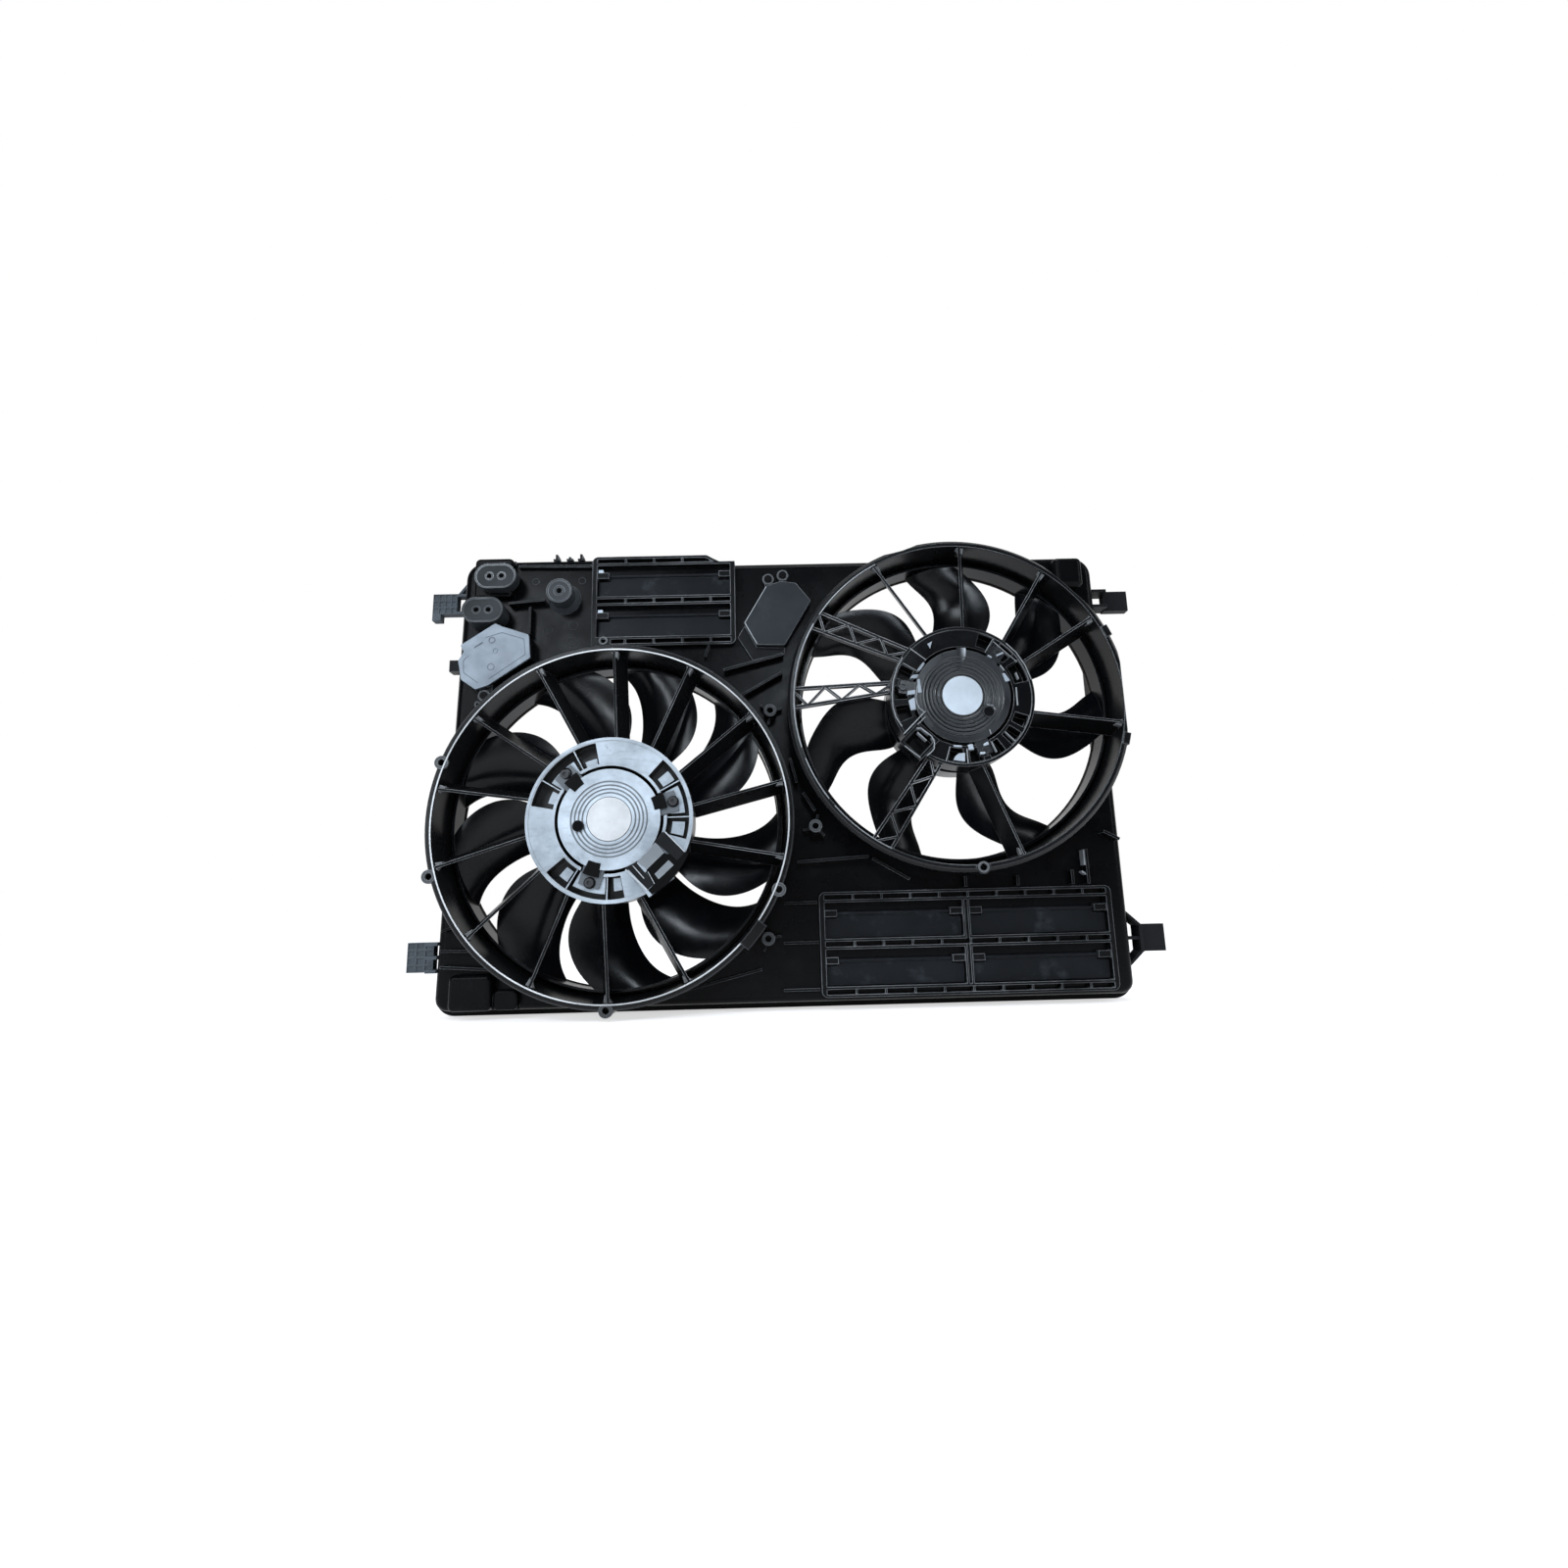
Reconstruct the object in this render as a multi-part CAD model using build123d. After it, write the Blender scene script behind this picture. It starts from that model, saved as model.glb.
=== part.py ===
from build123d import *
import os
from math import atan2, cos, degrees, hypot, radians, sin

# Twin radiator fan in one shroud. It is laid out lying on its radiator side: x runs to the right,
# y runs up the radiator, and z stands away from it, towards the engine. Each piece is stood up as it
# is written. The origin is the middle of the bottom seal lip. Lengths are in mm, angles in degrees.

# Shroud pan, measured to the outside of its walls
pan_left = 338.8
pan_right = 335.5
pan_left_height = 461.5
pan_right_height = 453.0
pan_left_lean = 9.0
step_left_x = -190.0
step_right_x = -45.0
pan_top_r = 20.0
pan_bottom_r = 12.0
lip_width = 14.0
lip_foot = 8.0
lip_thickness = 5.0
wall = 2.5
pan_depth = 42.0
face_round = 8.0
wall_foot = lip_foot / 2
rim_height = pan_depth - face_round
left_top = wall_foot + pan_left_height
right_top = wall_foot + pan_right_height

# Fan barrels, standing on the face plate
left_axis = (-163.0, 179.0)
left_barrel_base_r = 162.7
left_barrel_flare = 4.6
left_barrel_rim_r = left_barrel_base_r + left_barrel_flare
left_rim_bead = 3.0
right_axis = (173.5, 288.5)
right_barrel_base_r = 158.0
right_barrel_flare = 2.0
right_barrel_rim_r = right_barrel_base_r + right_barrel_flare
right_flange_width = 7.0
right_flange_r = right_barrel_rim_r + right_flange_width
right_flange_drop = 9.0
right_flat_x = right_barrel_rim_r + 0.5
right_chord_x = right_barrel_rim_r + 3.3
right_chord_angle = 43.5
dip_r = 60.0
dip_depth = 3.4
barrel_wall = 3.0
rim_z = 84.0

# Motor mounts and what carries them
left_hub_z = 88.0
left_mount_r = 78.4
right_hub_z = 96.0
right_mount_r = 69.2
mount_wall = 2.8
mount_depth = 22.0
mount_plate = 3.0
mount_bore_gap = 3.2
pocket_depth = 14.0
vane_thickness = 2.6
vane_depth = 24.0
vane_tilt = 19.0
seam = 0.05

# Fans
fan_mid_z = 45.0
left_hub_cup_r = 75.0
left_tip_gap = 2.7
left_band_r = left_barrel_base_r - left_tip_gap
left_blade_angles = (72.5, 107.5, 154.5, 191.0, 234.0, 271.5, 312.0, 346.0, 35.5)
left_blade_edges = ((-25, 5), (-25.5, 5), (-25.8, 6), (-23.5, 8), (-18.9, 10.8), (-12.2, 15.2), (-4, 22))
right_hub_cup_r = 68.0
right_tip_gap = 3.0
right_band_r = right_barrel_base_r - right_tip_gap
right_blade_angles = (131.5, 80.0, 34.5, -16.5, -76.0, -127.5, -171.5)
right_blade_edges = ((-15, 23), (-16.4, 20.2), (-16.5, 16), (-13.8, 15), (-7.5, 17.8), (0.8, 22.2),
                     (11.5, 26.5))
hub_cup_front = 60.0
hub_cup_back = 30.0
hub_cup_wall = 3.0
hub_cup_round = 5.0
hub_boss_r = 11.0
band_wall = 2.4
band_height = 21.0
blade_thickness = 2.6
blade_camber = 0.07

# Motors
left_plate_r = 47.8
right_plate_r = 46.0
right_ear_r = 57.0
can_r = 44.0
can_wall = 2.0
can_floor_z = 40.0
end_plate_thickness = 4.0
shaft_r = 4.0
shaft_end_z = 24.0
running_gap = 0.05
bearing_r = 11.0
bearing_width = 7.0
armature_r = 30.0
armature_length = 13.0
armature_slots = 12
air_gap = 1.0
magnet_count = 4
magnet_span = 72.0
commutator_r = 12.0
commutator_length = 8.0
commutator_bars = 12
brush_count = 4
ear_screw_r = 61.3
ear_width = 20.0
ear_thickness = 4.0
screw_r = 2.4
screw_head_r = 4.2
nut_r = 6.5
nut_height = 5.0
plug_r = 5.4
plug_height = 2.4
plug_at_r = 29.0

# Flap frames, with a window above another in each column
rail_band = 10.0
rail = 2.6
rail_height = 8.0
side_band = 5.0
column_gap = 7.0
window_height = 34.5
window_ledge = 3.0
frame_round = 6.0
top_frame_at = (-193.5, 363.5)
top_window_width = 139.0
top_rib_pitch = 29.6
bottom_frame_at = (32.5, 8.5)
bottom_window_width = 133.5
bottom_rib_pitch = 28.0

# Ram air flaps
rod_drop = 10.5
rod_r = 1.6
rod_z = 45.4
flap_thickness = 1.6
flap_gap = 0.4
flap_side_gap = 1.0
clip_length = 12.0
clip_width = 6.4
flap_notch = 5.4

# Side tabs that hang the shroud on the radiator
tab_length = 26.0
upper_left_tip = -371.0
lower_left_tip = -374.5
upper_right_tip = 379.0
lower_right_tip = 378.0
tab_back_z = 14.0
tab_thickness = 9.0
tab_arm = 3.0

# Bosses and posts
oval_boss_length = 42.0
oval_boss_width = 27.0
oval_boss_z = 62.0
oval_hole_pitch = 12.3
oval_hole_r = 2.8
upper_oval_at = (-290.3, 438.0)
lower_oval_at = (-302.0, 401.3)
round_boss_at = (-223.7, 419.3)
round_boss_r = 13.0
round_boss_z = 64.0
round_hole_r = 3.1
post_r = 6.5
post_hole_r = 3.0
post_z = 60.0
post_hole_depth = 14.0
block_round = 5.0
block_places = (((-316.5, -276.5), (420.0, 463.5), 50.0), ((288.0, 318.0), (415.0, 447.5), 60.0),
                ((-319.5, -279.0), (5.0, 38.5), 55.0), ((-279.0, -255.5), (5.0, 23.5), 49.0))

# Control modules
left_module_z = 58.0
right_module_z = 52.0
lid_thickness = 2.5
module_wall = 2.0
module_screw_eye_r = 6.2


def box(x_range, y_range, z_range):
    """Block between two values on each axis."""
    size = [high - low for low, high in (x_range, y_range, z_range)]
    corner = (x_range[0], y_range[0], z_range[0])
    return Pos(*corner) * Box(*size, align=(Align.MIN, Align.MIN, Align.MIN))


def rod(radius, low, high, at=(0, 0)):
    """Round bar standing along z."""
    bar = Cylinder(radius, high - low, align=(Align.CENTER, Align.CENTER, Align.MIN))
    return Pos(at[0], at[1], low) * bar


def tube(outer, inner, low, high, at=(0, 0)):
    """Round tube standing along z."""
    return rod(outer, low, high, at) - rod(inner, low, high, at)


def polar(radius, angle, at=(0, 0)):
    """Point at a radius and an angle about a centre."""
    return (at[0] + radius * cos(radians(angle)), at[1] + radius * sin(radians(angle)))


def at_axis(axis, shape):
    """Move a shape made about the origin to a fan's axis."""
    return Pos(axis[0], axis[1], 0) * shape


def along(start, end, share):
    """Point part of the way from one point to another."""
    return tuple(a + (b - a) * share for a, b in zip(start, end))


def turned(angle, shape):
    """Turn a shape about z."""
    return Rot(0, 0, angle) * shape


def sector(inner, outer, start, span):
    """Flat piece of a ring, from the angle start over the angle span."""
    far = CenterArc((0, 0), outer, start, span)
    near = CenterArc((0, 0), inner, start, span)
    return make_face([far, near, Line(near @ 0, far @ 0), Line(near @ 1, far @ 1)])


def sector_block(inner, outer, start, span, low, high):
    """Piece of a ring with a height."""
    return Pos(0, 0, low) * extrude(sector(inner, outer, start, span), high - low)


def plate(points, low, high, corner=0.0):
    """Flat plate with a given outline and rounded corners."""
    sheet = make_face(Polyline(points, close=True))
    if corner > 0:
        sheet = fillet(sheet.vertices(), corner)
    return Pos(0, 0, low) * extrude(sheet, high - low)


def rib(start, end, low, high, thickness=rail):
    """Straight upright rib between two points."""
    run = hypot(end[0] - start[0], end[1] - start[1])
    heading = degrees(atan2(end[1] - start[1], end[0] - start[0]))
    middle = ((start[0] + end[0]) / 2, (start[1] + end[1]) / 2, low)
    block = Box(run, thickness, high - low, align=(Align.CENTER, Align.CENTER, Align.MIN))
    return Pos(*middle) * Rot(0, 0, heading) * block


def lathe(points):
    """Solid of revolution about z, from points of radius and height."""
    profile = make_face(Polyline([(r, 0, z) for r, z in points], close=True))
    return revolve(profile, Axis.Z)


# Shroud pan

def pan_sheet(side, foot):
    """Outline of the pan, moved out by one distance at the sides and top and another below."""
    left = -pan_left - side
    right = pan_right + side
    low = wall_foot - foot
    corners = [(left, low), (right, low), (right, right_top + side), (step_right_x, right_top + side)]
    corners += [(step_left_x, left_top + side), (left + pan_left_lean, left_top + side)]
    sheet = make_face(Polyline(corners, close=True))
    bends = ((corners[0], pan_bottom_r + foot), (corners[1], pan_bottom_r + foot))
    bends += ((corners[2], pan_top_r + side), (corners[5], pan_top_r + side))
    for corner, radius in bends:
        sheet = fillet(sheet.vertices().sort_by_distance((*corner, 0))[0], radius)
    return sheet


def left_wall_x(y):
    """Outside of the left side wall at a height up the radiator."""
    return -pan_left + pan_left_lean * (y - wall_foot) / pan_left_height


def seats():
    """Flat rests that carry the barrels, the frames and the blocks past the rounded front edge."""
    pads = [tube(left_barrel_base_r + barrel_wall, left_barrel_base_r, rim_height, pan_depth, left_axis)]
    pads += [tube(right_barrel_base_r + barrel_wall, right_barrel_base_r, rim_height, pan_depth, right_axis)]
    for place in ((top_frame_at, 1, top_window_width), (bottom_frame_at, 2, bottom_window_width)):
        pads.append(Pos(0, 0, rim_height) * extrude(frame_sheet(*place), pan_depth - rim_height))
    pads[2] -= top_frame_cut()
    for x_range, y_range, _ in block_places:
        pads.append(box(x_range, y_range, (rim_height, pan_depth)))
    return pads


def pan_shell():
    """Thin pan with a rounded front edge, without its lip."""
    outer = extrude(pan_sheet(0, 0), pan_depth)
    outer = fillet(outer.faces().sort_by(Axis.Z)[-1].edges(), face_round)
    inner = extrude(pan_sheet(-wall, -wall), pan_depth - wall)
    inner = fillet(inner.faces().sort_by(Axis.Z)[-1].edges(), face_round - wall)
    for pad in seats():
        outer += pad
    return outer - inner


def slab_between(low, high):
    """Wide slab used to part the pan at a height."""
    return box((-2 * pan_left, 2 * pan_right), (-pan_left, 2 * pan_left_height), (low, high))


def shroud_rim():
    """Side walls of the pan with the seal lip around them."""
    lip = extrude(pan_sheet(lip_width, lip_foot) - pan_sheet(0, 0), lip_thickness)
    return (pan_shell() & slab_between(0, rim_height)) + lip


def window_cut(x, y, width):
    """Hole in the face plate behind a flap."""
    top = y + window_height - rod_drop - flap_notch - 1
    span = (x + window_ledge, x + width - window_ledge)
    return box(span, (y + window_ledge, top), (0, pan_depth + 1))


def shroud_face():
    """Face plate with the two fan openings and the six flap windows."""
    face = pan_shell() & slab_between(rim_height, pan_depth)
    face -= rod(left_barrel_base_r, 0, pan_depth + 1, left_axis)
    face -= rod(right_barrel_base_r, 0, pan_depth + 1, right_axis)
    for x, y, width in windows():
        face -= window_cut(x, y, width)
    return face


def corner_blocks():
    """Raised hollow corners of the face plate."""
    blocks = []
    for x_range, y_range, top in block_places:
        block = box(x_range, y_range, (pan_depth, top))
        block = fillet(block.edges().filter_by(Axis.Z), block_round)
        block = fillet(block.faces().sort_by(Axis.Z)[-1].edges(), (top - pan_depth) / 3)
        inner = [(low + wall, high - wall) for low, high in (x_range, y_range)]
        blocks.append(block - box(inner[0], inner[1], (pan_depth, top - wall)))
    return Compound(blocks)


def face_ribs():
    """Stiffening ribs that stand on the face plate between the larger features."""
    runs = [((-57, 334), (4, 349.6), 12), ((-39.3, 306.2), (2, 329.3), 14), ((-72, 362), (-76, 350), 8)]
    runs += [((12, 137), (82, 141), 12), ((86, 139), (121, 118), 10), ((176, 119.5), (176, 109.5), 8)]
    runs += [((227, 119), (227, 109.5), 8), ((281, 123), (281, 109.5), 8), ((295.5, 143), (295.5, 109.5), 10)]
    runs += [((314, 160), (329, 152), 12), ((-1, 98), (31, 98), 4), ((-2.5, 60), (31, 60), 4)]
    runs += [((-3.5, 16), (31, 16), 4), ((-272, 455.5), (-195, 454), 5), ((-257, 408), (-257, 378), 9)]
    runs += [((-279.5, 412), (-242, 415), 10), ((8, 240), (14, 215), 14), ((20, 205), (31, 187), 14)]
    runs += [((-24, 36), (-150, 5.5), 4), ((-329, 79.5), (-306, 87.5), 10), ((-329, 61), (-285, 60), 10)]
    runs += [((-329, 46), (-262, 41.5), 10)]
    return Compound([rib(start, end, pan_depth, pan_depth + height) for start, end, height in runs])


def edge_clips():
    """Small hooks on the top wall."""
    clips = []
    low = left_top + 0.1
    for x, reach in ((-235, 7), (-221, 4), (-209, 7)):
        clip = box((x - 1.2, x + 1.2), (low, low + reach), (26, 38))
        clips.append(clip + box((x - 3.5, x + 3.5), (low, low + 2), (26, 38)))
    return Compound(clips)


# Fan barrels

def left_bore(gap=0.0):
    """Room inside the left barrel, drawn in by a gap."""
    base = left_barrel_base_r - gap
    rim = left_barrel_rim_r - gap
    return lathe([(0, pan_depth), (base, pan_depth), (rim, rim_z), (rim, rim_z + 20), (0, rim_z + 20)])


def left_barrel():
    """Left duct wall with its rim bead, its screw bosses and its cable bridge."""
    base = left_barrel_base_r + barrel_wall
    rim = left_barrel_rim_r + barrel_wall
    bead = rim + left_rim_bead
    wall_profile = [(0, pan_depth), (base, pan_depth), (rim, rim_z - 5), (bead, rim_z - 4)]
    wall_profile += [(bead, rim_z - 1), (bead - 1, rim_z), (0, rim_z)]
    body = lathe(wall_profile)
    for angle, reach in ((160.0, 0.0), (-163.6, 2.5), (-90.4, 1.5), (-23.7, 0.0)):
        place = polar(rim + reach, angle)
        body += rod(post_r, rim_z - 24, rim_z - 1, place)
    bridge = sector_block(rim - 4, bead + 4, -44, 9, rim_z - 18, rim_z + 1.5)
    body = body + bridge - left_bore()
    for angle, reach in ((160.0, 0.0), (-163.6, 2.5), (-90.4, 1.5), (-23.7, 0.0)):
        body -= rod(post_hole_r, rim_z - 12, rim_z, polar(rim + reach + 1.2, angle))
    return at_axis(left_axis, body)


def right_bore(gap=0.0):
    """Room inside the right barrel, drawn in by a gap."""
    base = right_barrel_base_r - gap
    rim = right_barrel_rim_r - gap
    return lathe([(0, pan_depth), (base, pan_depth), (rim, rim_z), (rim, rim_z + 20), (0, rim_z + 20)])


def right_barrel():
    """Right duct wall with a rolled flange, cut flat beside the pan's right wall."""
    base = right_barrel_base_r + barrel_wall
    skirt = right_flange_r - barrel_wall
    low = rim_z - right_flange_drop
    profile = [(0, pan_depth), (base, pan_depth), (right_barrel_rim_r + barrel_wall, low + 4)]
    profile += [(skirt, low + 5), (skirt, low), (right_flange_r, low), (right_flange_r, rim_z - 3)]
    profile += [(right_flange_r - 3, rim_z), (0, rim_z)]
    body = lathe(profile) - box((right_flat_x, 2 * right_flange_r), (-200, 200), (low - 1, rim_z + 1))
    chord = box((right_chord_x, 2 * right_flange_r), (-60, 60), (low - 1, rim_z + 1))
    body -= turned(right_chord_angle, chord)
    dip_at = polar(right_flange_r - dip_depth + dip_r, 107)
    body -= rod(dip_r, low - 1, rim_z + 1, dip_at)
    for angle in (24.0, -15.0):
        body += sector_block(skirt - 3, right_flange_r + 0.6, angle - 2, 4, low - 3, rim_z + 0.6)
    place = polar(right_flange_r - 4, -86)
    body += rod(post_r, low - 8, rim_z + 1, place)
    body -= right_bore()
    body -= rod(post_hole_r, rim_z - 10, rim_z + 2, place)
    return at_axis(right_axis, body)


# Vanes and struts that carry the motors

def vane(start, end, start_z, end_z, depth):
    """Thin plate between two points, tilted so that its back edge trails clockwise."""
    heading = Vector(end[0] - start[0], end[1] - start[1]).normalized()
    side = Vector(-heading.Y, heading.X)
    ends = []
    for place, z in ((start, start_z), (end, end_z)):
        station = Plane(origin=(place[0], place[1], z - depth / 2), x_dir=side, z_dir=heading)
        ends.append(station * Rot(0, 0, -vane_tilt) * Rectangle(vane_thickness, depth))
    return loft(ends)


def left_vanes():
    """Thirteen vanes in fourteen places: the cable runs in the empty place."""
    rim_angles = (88.6, 62.3, 35.8, 10.6, -14.2, -65.0, -91.0, -116.3, -141.8, -167.1, 167.3, 141.3, 114.9)
    swirl = 5.6
    vanes = []
    for angle in rim_angles:
        start = polar(left_mount_r - 5, angle - swirl)
        end = polar(left_barrel_rim_r + 4, angle)
        piece = vane(start, end, left_hub_z - 1.5, rim_z - 1, vane_depth)
        piece = (piece & left_bore(seam)) - rod(left_mount_r + seam, 0, left_hub_z + 1)
        vanes.append(at_axis(left_axis, piece.solids().sort_by(SortBy.VOLUME)[-1]))
    return Compound(vanes)


def right_vanes():
    """Six plain vanes of the right motor mount."""
    ends = ((117.3, 111), (84.9, 81), (53.7, 47), (29.5, 25), (-10.5, -17), (-72.5, -80))
    vanes = []
    for rim_angle, hub_angle in ends:
        start = polar(right_mount_r - 5, hub_angle)
        end = polar(right_barrel_rim_r + 4, rim_angle)
        piece = vane(start, end, right_hub_z - 5, rim_z - 1, vane_depth)
        piece = (piece & right_bore(seam)) - rod(right_mount_r + seam, 0, right_hub_z + 1)
        vanes.append(at_axis(right_axis, piece.solids().sort_by(SortBy.VOLUME)[-1]))
    return Compound(vanes)


def beam(start, end, start_z, end_z, width, depth):
    """Straight bar between two points, with its top at the given heights."""
    heading = Vector(end[0] - start[0], end[1] - start[1]).normalized()
    side = Vector(-heading.Y, heading.X)
    ends = []
    for place, z in ((start, start_z), (end, end_z)):
        station = Plane(origin=(place[0], place[1], z - depth / 2), x_dir=side, z_dir=heading)
        ends.append(station * Rectangle(width, depth))
    return loft(ends)


def lattice_strut(rim_angle, rim_spread, hub_angle, hub_spread):
    """Two rails with a zigzag of thin bars between them."""
    bays = 6
    hub_r = right_mount_r - 4
    rim_r = right_barrel_rim_r + 4
    top = right_hub_z - 6
    drop = (top - rim_z + 3) / bays
    sides = []
    for turn in (-1, 1):
        near = polar(hub_r, hub_angle + turn * hub_spread)
        far = polar(rim_r, rim_angle + turn * rim_spread)
        sides.append([along(near, far, step / bays) for step in range(bays + 1)])
    pieces = []
    for points in sides:
        pieces.append(beam(points[0], points[-1], top, top - drop * bays, 3.0, 6.0))
    for step in range(bays):
        start = sides[step % 2][step]
        end = sides[(step + 1) % 2][step + 1]
        pieces.append(beam(start, end, top - drop * step, top - drop * (step + 1), 2.2, 5.0))
    strut = Part() + pieces
    strut = (strut & right_bore(seam)) - rod(right_mount_r + seam, 0, right_hub_z + 1)
    return at_axis(right_axis, strut)


def right_lattice_struts():
    """Three open struts on the left side of the right fan."""
    places = ((148.0, 3.2, 139.0, 6.0), (178.0, 3.4, 169.0, 4.0), (-120.5, 3.4, -115.0, 6.0))
    return Compound([solid for place in places for solid in lattice_strut(*place).solids()])


# Motor mounts

def motor_mount(mount_r, plate_r, hub_z, pockets):
    """Round mount with a skirt, a front plate with pockets, and the walls of the pockets."""
    bore_r = plate_r + mount_bore_gap
    low = hub_z - mount_depth
    floor = hub_z - pocket_depth
    body = tube(mount_r, mount_r - mount_wall, low, hub_z)
    body += tube(bore_r + mount_wall, bore_r, floor - 2, hub_z - 1)
    body += tube(mount_r, bore_r, hub_z - mount_plate, hub_z - 0.6)
    for start, span in pockets:
        inner = bore_r + mount_wall
        outer = mount_r - mount_wall - 1
        body -= sector_block(inner, outer, start, span, hub_z - mount_plate - 1, hub_z + 1)
        body += sector_block(inner - 1, outer + 2, start - 3, span + 6, floor - 2, floor)
        for side in (start - 1.6, start + span):
            body += sector_block(inner - 1, outer + 2, side, 1.6, floor, hub_z - mount_plate)
    return body


def ear_angles(side):
    """Directions of the three ears that fasten a motor."""
    return (134.3, 14.8, -106.8) if side == "left" else (49.0, 169.0, -71.0)


def left_motor_mount():
    """Mount ring of the left motor: three pockets, three screw towers and a cable channel."""
    pockets = ((101, 68), (-16, 64), (-140, 62))
    body = motor_mount(left_mount_r, left_plate_r, left_hub_z, pockets)
    top = left_hub_z - end_plate_thickness
    ear_low = top - ear_thickness + 1.5
    for angle in ear_angles("left"):
        tower = tube(5.6, screw_r + 0.1, left_hub_z - mount_depth, ear_low)
        body += Pos(*polar(ear_screw_r, angle), 0) * tower
        half = ear_width / 2 + 1
        room = box((left_plate_r - 6, ear_screw_r + 7), (-half, half), (ear_low, 120))
        body -= turned(angle, room & tube(ear_screw_r + 7, left_plate_r, ear_low, 120))
        body -= Pos(*polar(ear_screw_r, angle), 0) * rod(screw_r + 0.1, left_hub_z - mount_depth + 2, 120)
    channel = box((left_plate_r + 1.5, left_mount_r + 3), (-15, 13), (left_hub_z - 9, left_hub_z + 2.5))
    channel -= box((61, 74), (-9, 7), (left_hub_z - 7, left_hub_z + 3))
    channel -= box((left_plate_r, left_mount_r + 4), (7, 14), (left_hub_z - 2, left_hub_z + 3))
    body += turned(-52, channel)
    return at_axis(left_axis, body - rod(left_plate_r + 0.5, left_hub_z - 9, left_hub_z + 9))


def right_motor_mount():
    """Mount ring of the right motor: a ring of small pockets and a connector window."""
    pockets = ((12, 20), (38, 14), (58, 14), (150, 13), (170, 12), (-172, 14))
    pockets += ((-106, 13), (-87, 12), (-69, 14), (-48, 13), (-30, 11))
    body = motor_mount(right_mount_r, right_plate_r, right_hub_z, pockets)
    top = right_hub_z - end_plate_thickness
    ear_low = top - ear_thickness + 1.5
    for angle in ear_angles("right"):
        place = polar(right_ear_r, angle)
        body += Pos(*place, 0) * tube(4.6, screw_r + 0.1, right_hub_z - mount_depth, ear_low)
        room = box((right_plate_r - 6, right_ear_r + 6), (-7, 7), (ear_low, 120))
        body -= turned(angle, room & tube(right_ear_r + 5, right_plate_r, ear_low, 120))
        body -= Pos(*place, 0) * rod(screw_r + 0.1, right_hub_z - mount_depth + 2, 120)
    frame = box((right_plate_r + 3, right_mount_r + 7), (-13, 13), (right_hub_z - 16, right_hub_z + 3))
    frame -= box((right_plate_r + 6, right_mount_r + 4), (-10, 10), (right_hub_z - 13, right_hub_z + 4))
    body -= turned(-160 + 25, rod(right_mount_r + 9, right_hub_z - 16, right_hub_z + 4) &
                   box((right_plate_r + 4, 90), (-11, 11), (right_hub_z - 15, right_hub_z + 4)))
    body += turned(-135, frame)
    return at_axis(right_axis, body - rod(right_plate_r + 0.5, right_hub_z - 9, right_hub_z + 9))


# Fans

def blade(stations):
    """Curved blade lofted through flat sections that stand across the radius."""
    sections = []
    for radius, lesser, greater, front, back in stations:
        middle = (lesser + greater) / 2
        half = radius * radians(greater - lesser) / 2
        rise = (front - back) / 2
        bulge = blade_camber * 2 * half
        edge = blade_thickness / 4
        station = Plane(origin=(*polar(radius, middle), (front + back) / 2),
                        x_dir=(-sin(radians(middle)), cos(radians(middle)), 0),
                        z_dir=(*polar(1, middle), 0))
        top = ThreePointArc((-half, rise + edge), (0, bulge + blade_thickness / 2), (half, edge - rise))
        low = ThreePointArc((-half, rise - edge), (0, bulge - blade_thickness / 2), (half, -edge - rise))
        face = make_face([top, low, Line(top @ 0, low @ 0), Line(top @ 1, low @ 1)])
        sections.append(station * face)
    return loft(sections)


def blade_stations(cup_r, band_r, edges):
    """Radius, the two edge angles, and the heights of the front and back edges, from hub to band."""
    root = cup_r - 9.5
    tip = band_r + 2.5
    front = fan_mid_z + 12.5
    back = fan_mid_z - 12.0
    twist = ((0, 0), (0, 0), (0, 1), (0.5, 1.5), (1, 2), (2, 2.5), (3, 3))
    stations = []
    for step, ((lesser, greater), (drop, rise)) in enumerate(zip(edges, twist)):
        radius = root + (tip - root) * step / (len(edges) - 1)
        stations.append((radius, lesser, greater, front - drop, back + rise))
    return stations


def impeller(cup_r, band_r, angles, edges):
    """Hub cup, blades and tip band of one fan."""
    cup = rod(cup_r, hub_cup_back, hub_cup_front)
    cup = fillet(cup.faces().sort_by(Axis.Z)[0].edges(), hub_cup_round)
    room = rod(cup_r - hub_cup_wall, hub_cup_back + hub_cup_wall, hub_cup_front + 1)
    room = fillet(room.faces().sort_by(Axis.Z)[0].edges(), hub_cup_round - hub_cup_wall / 2)
    cup -= room
    cup -= tube(cup_r - 14, hub_boss_r + 6, hub_cup_back - 1, hub_cup_back + 0.8)
    boss_top = can_floor_z - 2
    cup += rod(hub_boss_r, hub_cup_back, boss_top)
    for step in range(len(angles)):
        web = box((hub_boss_r - 1, cup_r - 2), (-1, 1), (hub_cup_back + 2, boss_top - 1))
        cup += turned(step * 360 / len(angles), web)
    shape = blade(blade_stations(cup_r, band_r, edges))
    shape &= tube(band_r - band_wall / 2, cup_r - hub_cup_wall / 2, 0, rim_z)
    low = fan_mid_z - band_height / 2
    fan = cup + tube(band_r, band_r - band_wall, low, low + band_height)
    fan += [turned(angle, shape) for angle in angles]
    return fan - rod(shaft_r, 0, rim_z)


# Motors

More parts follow.
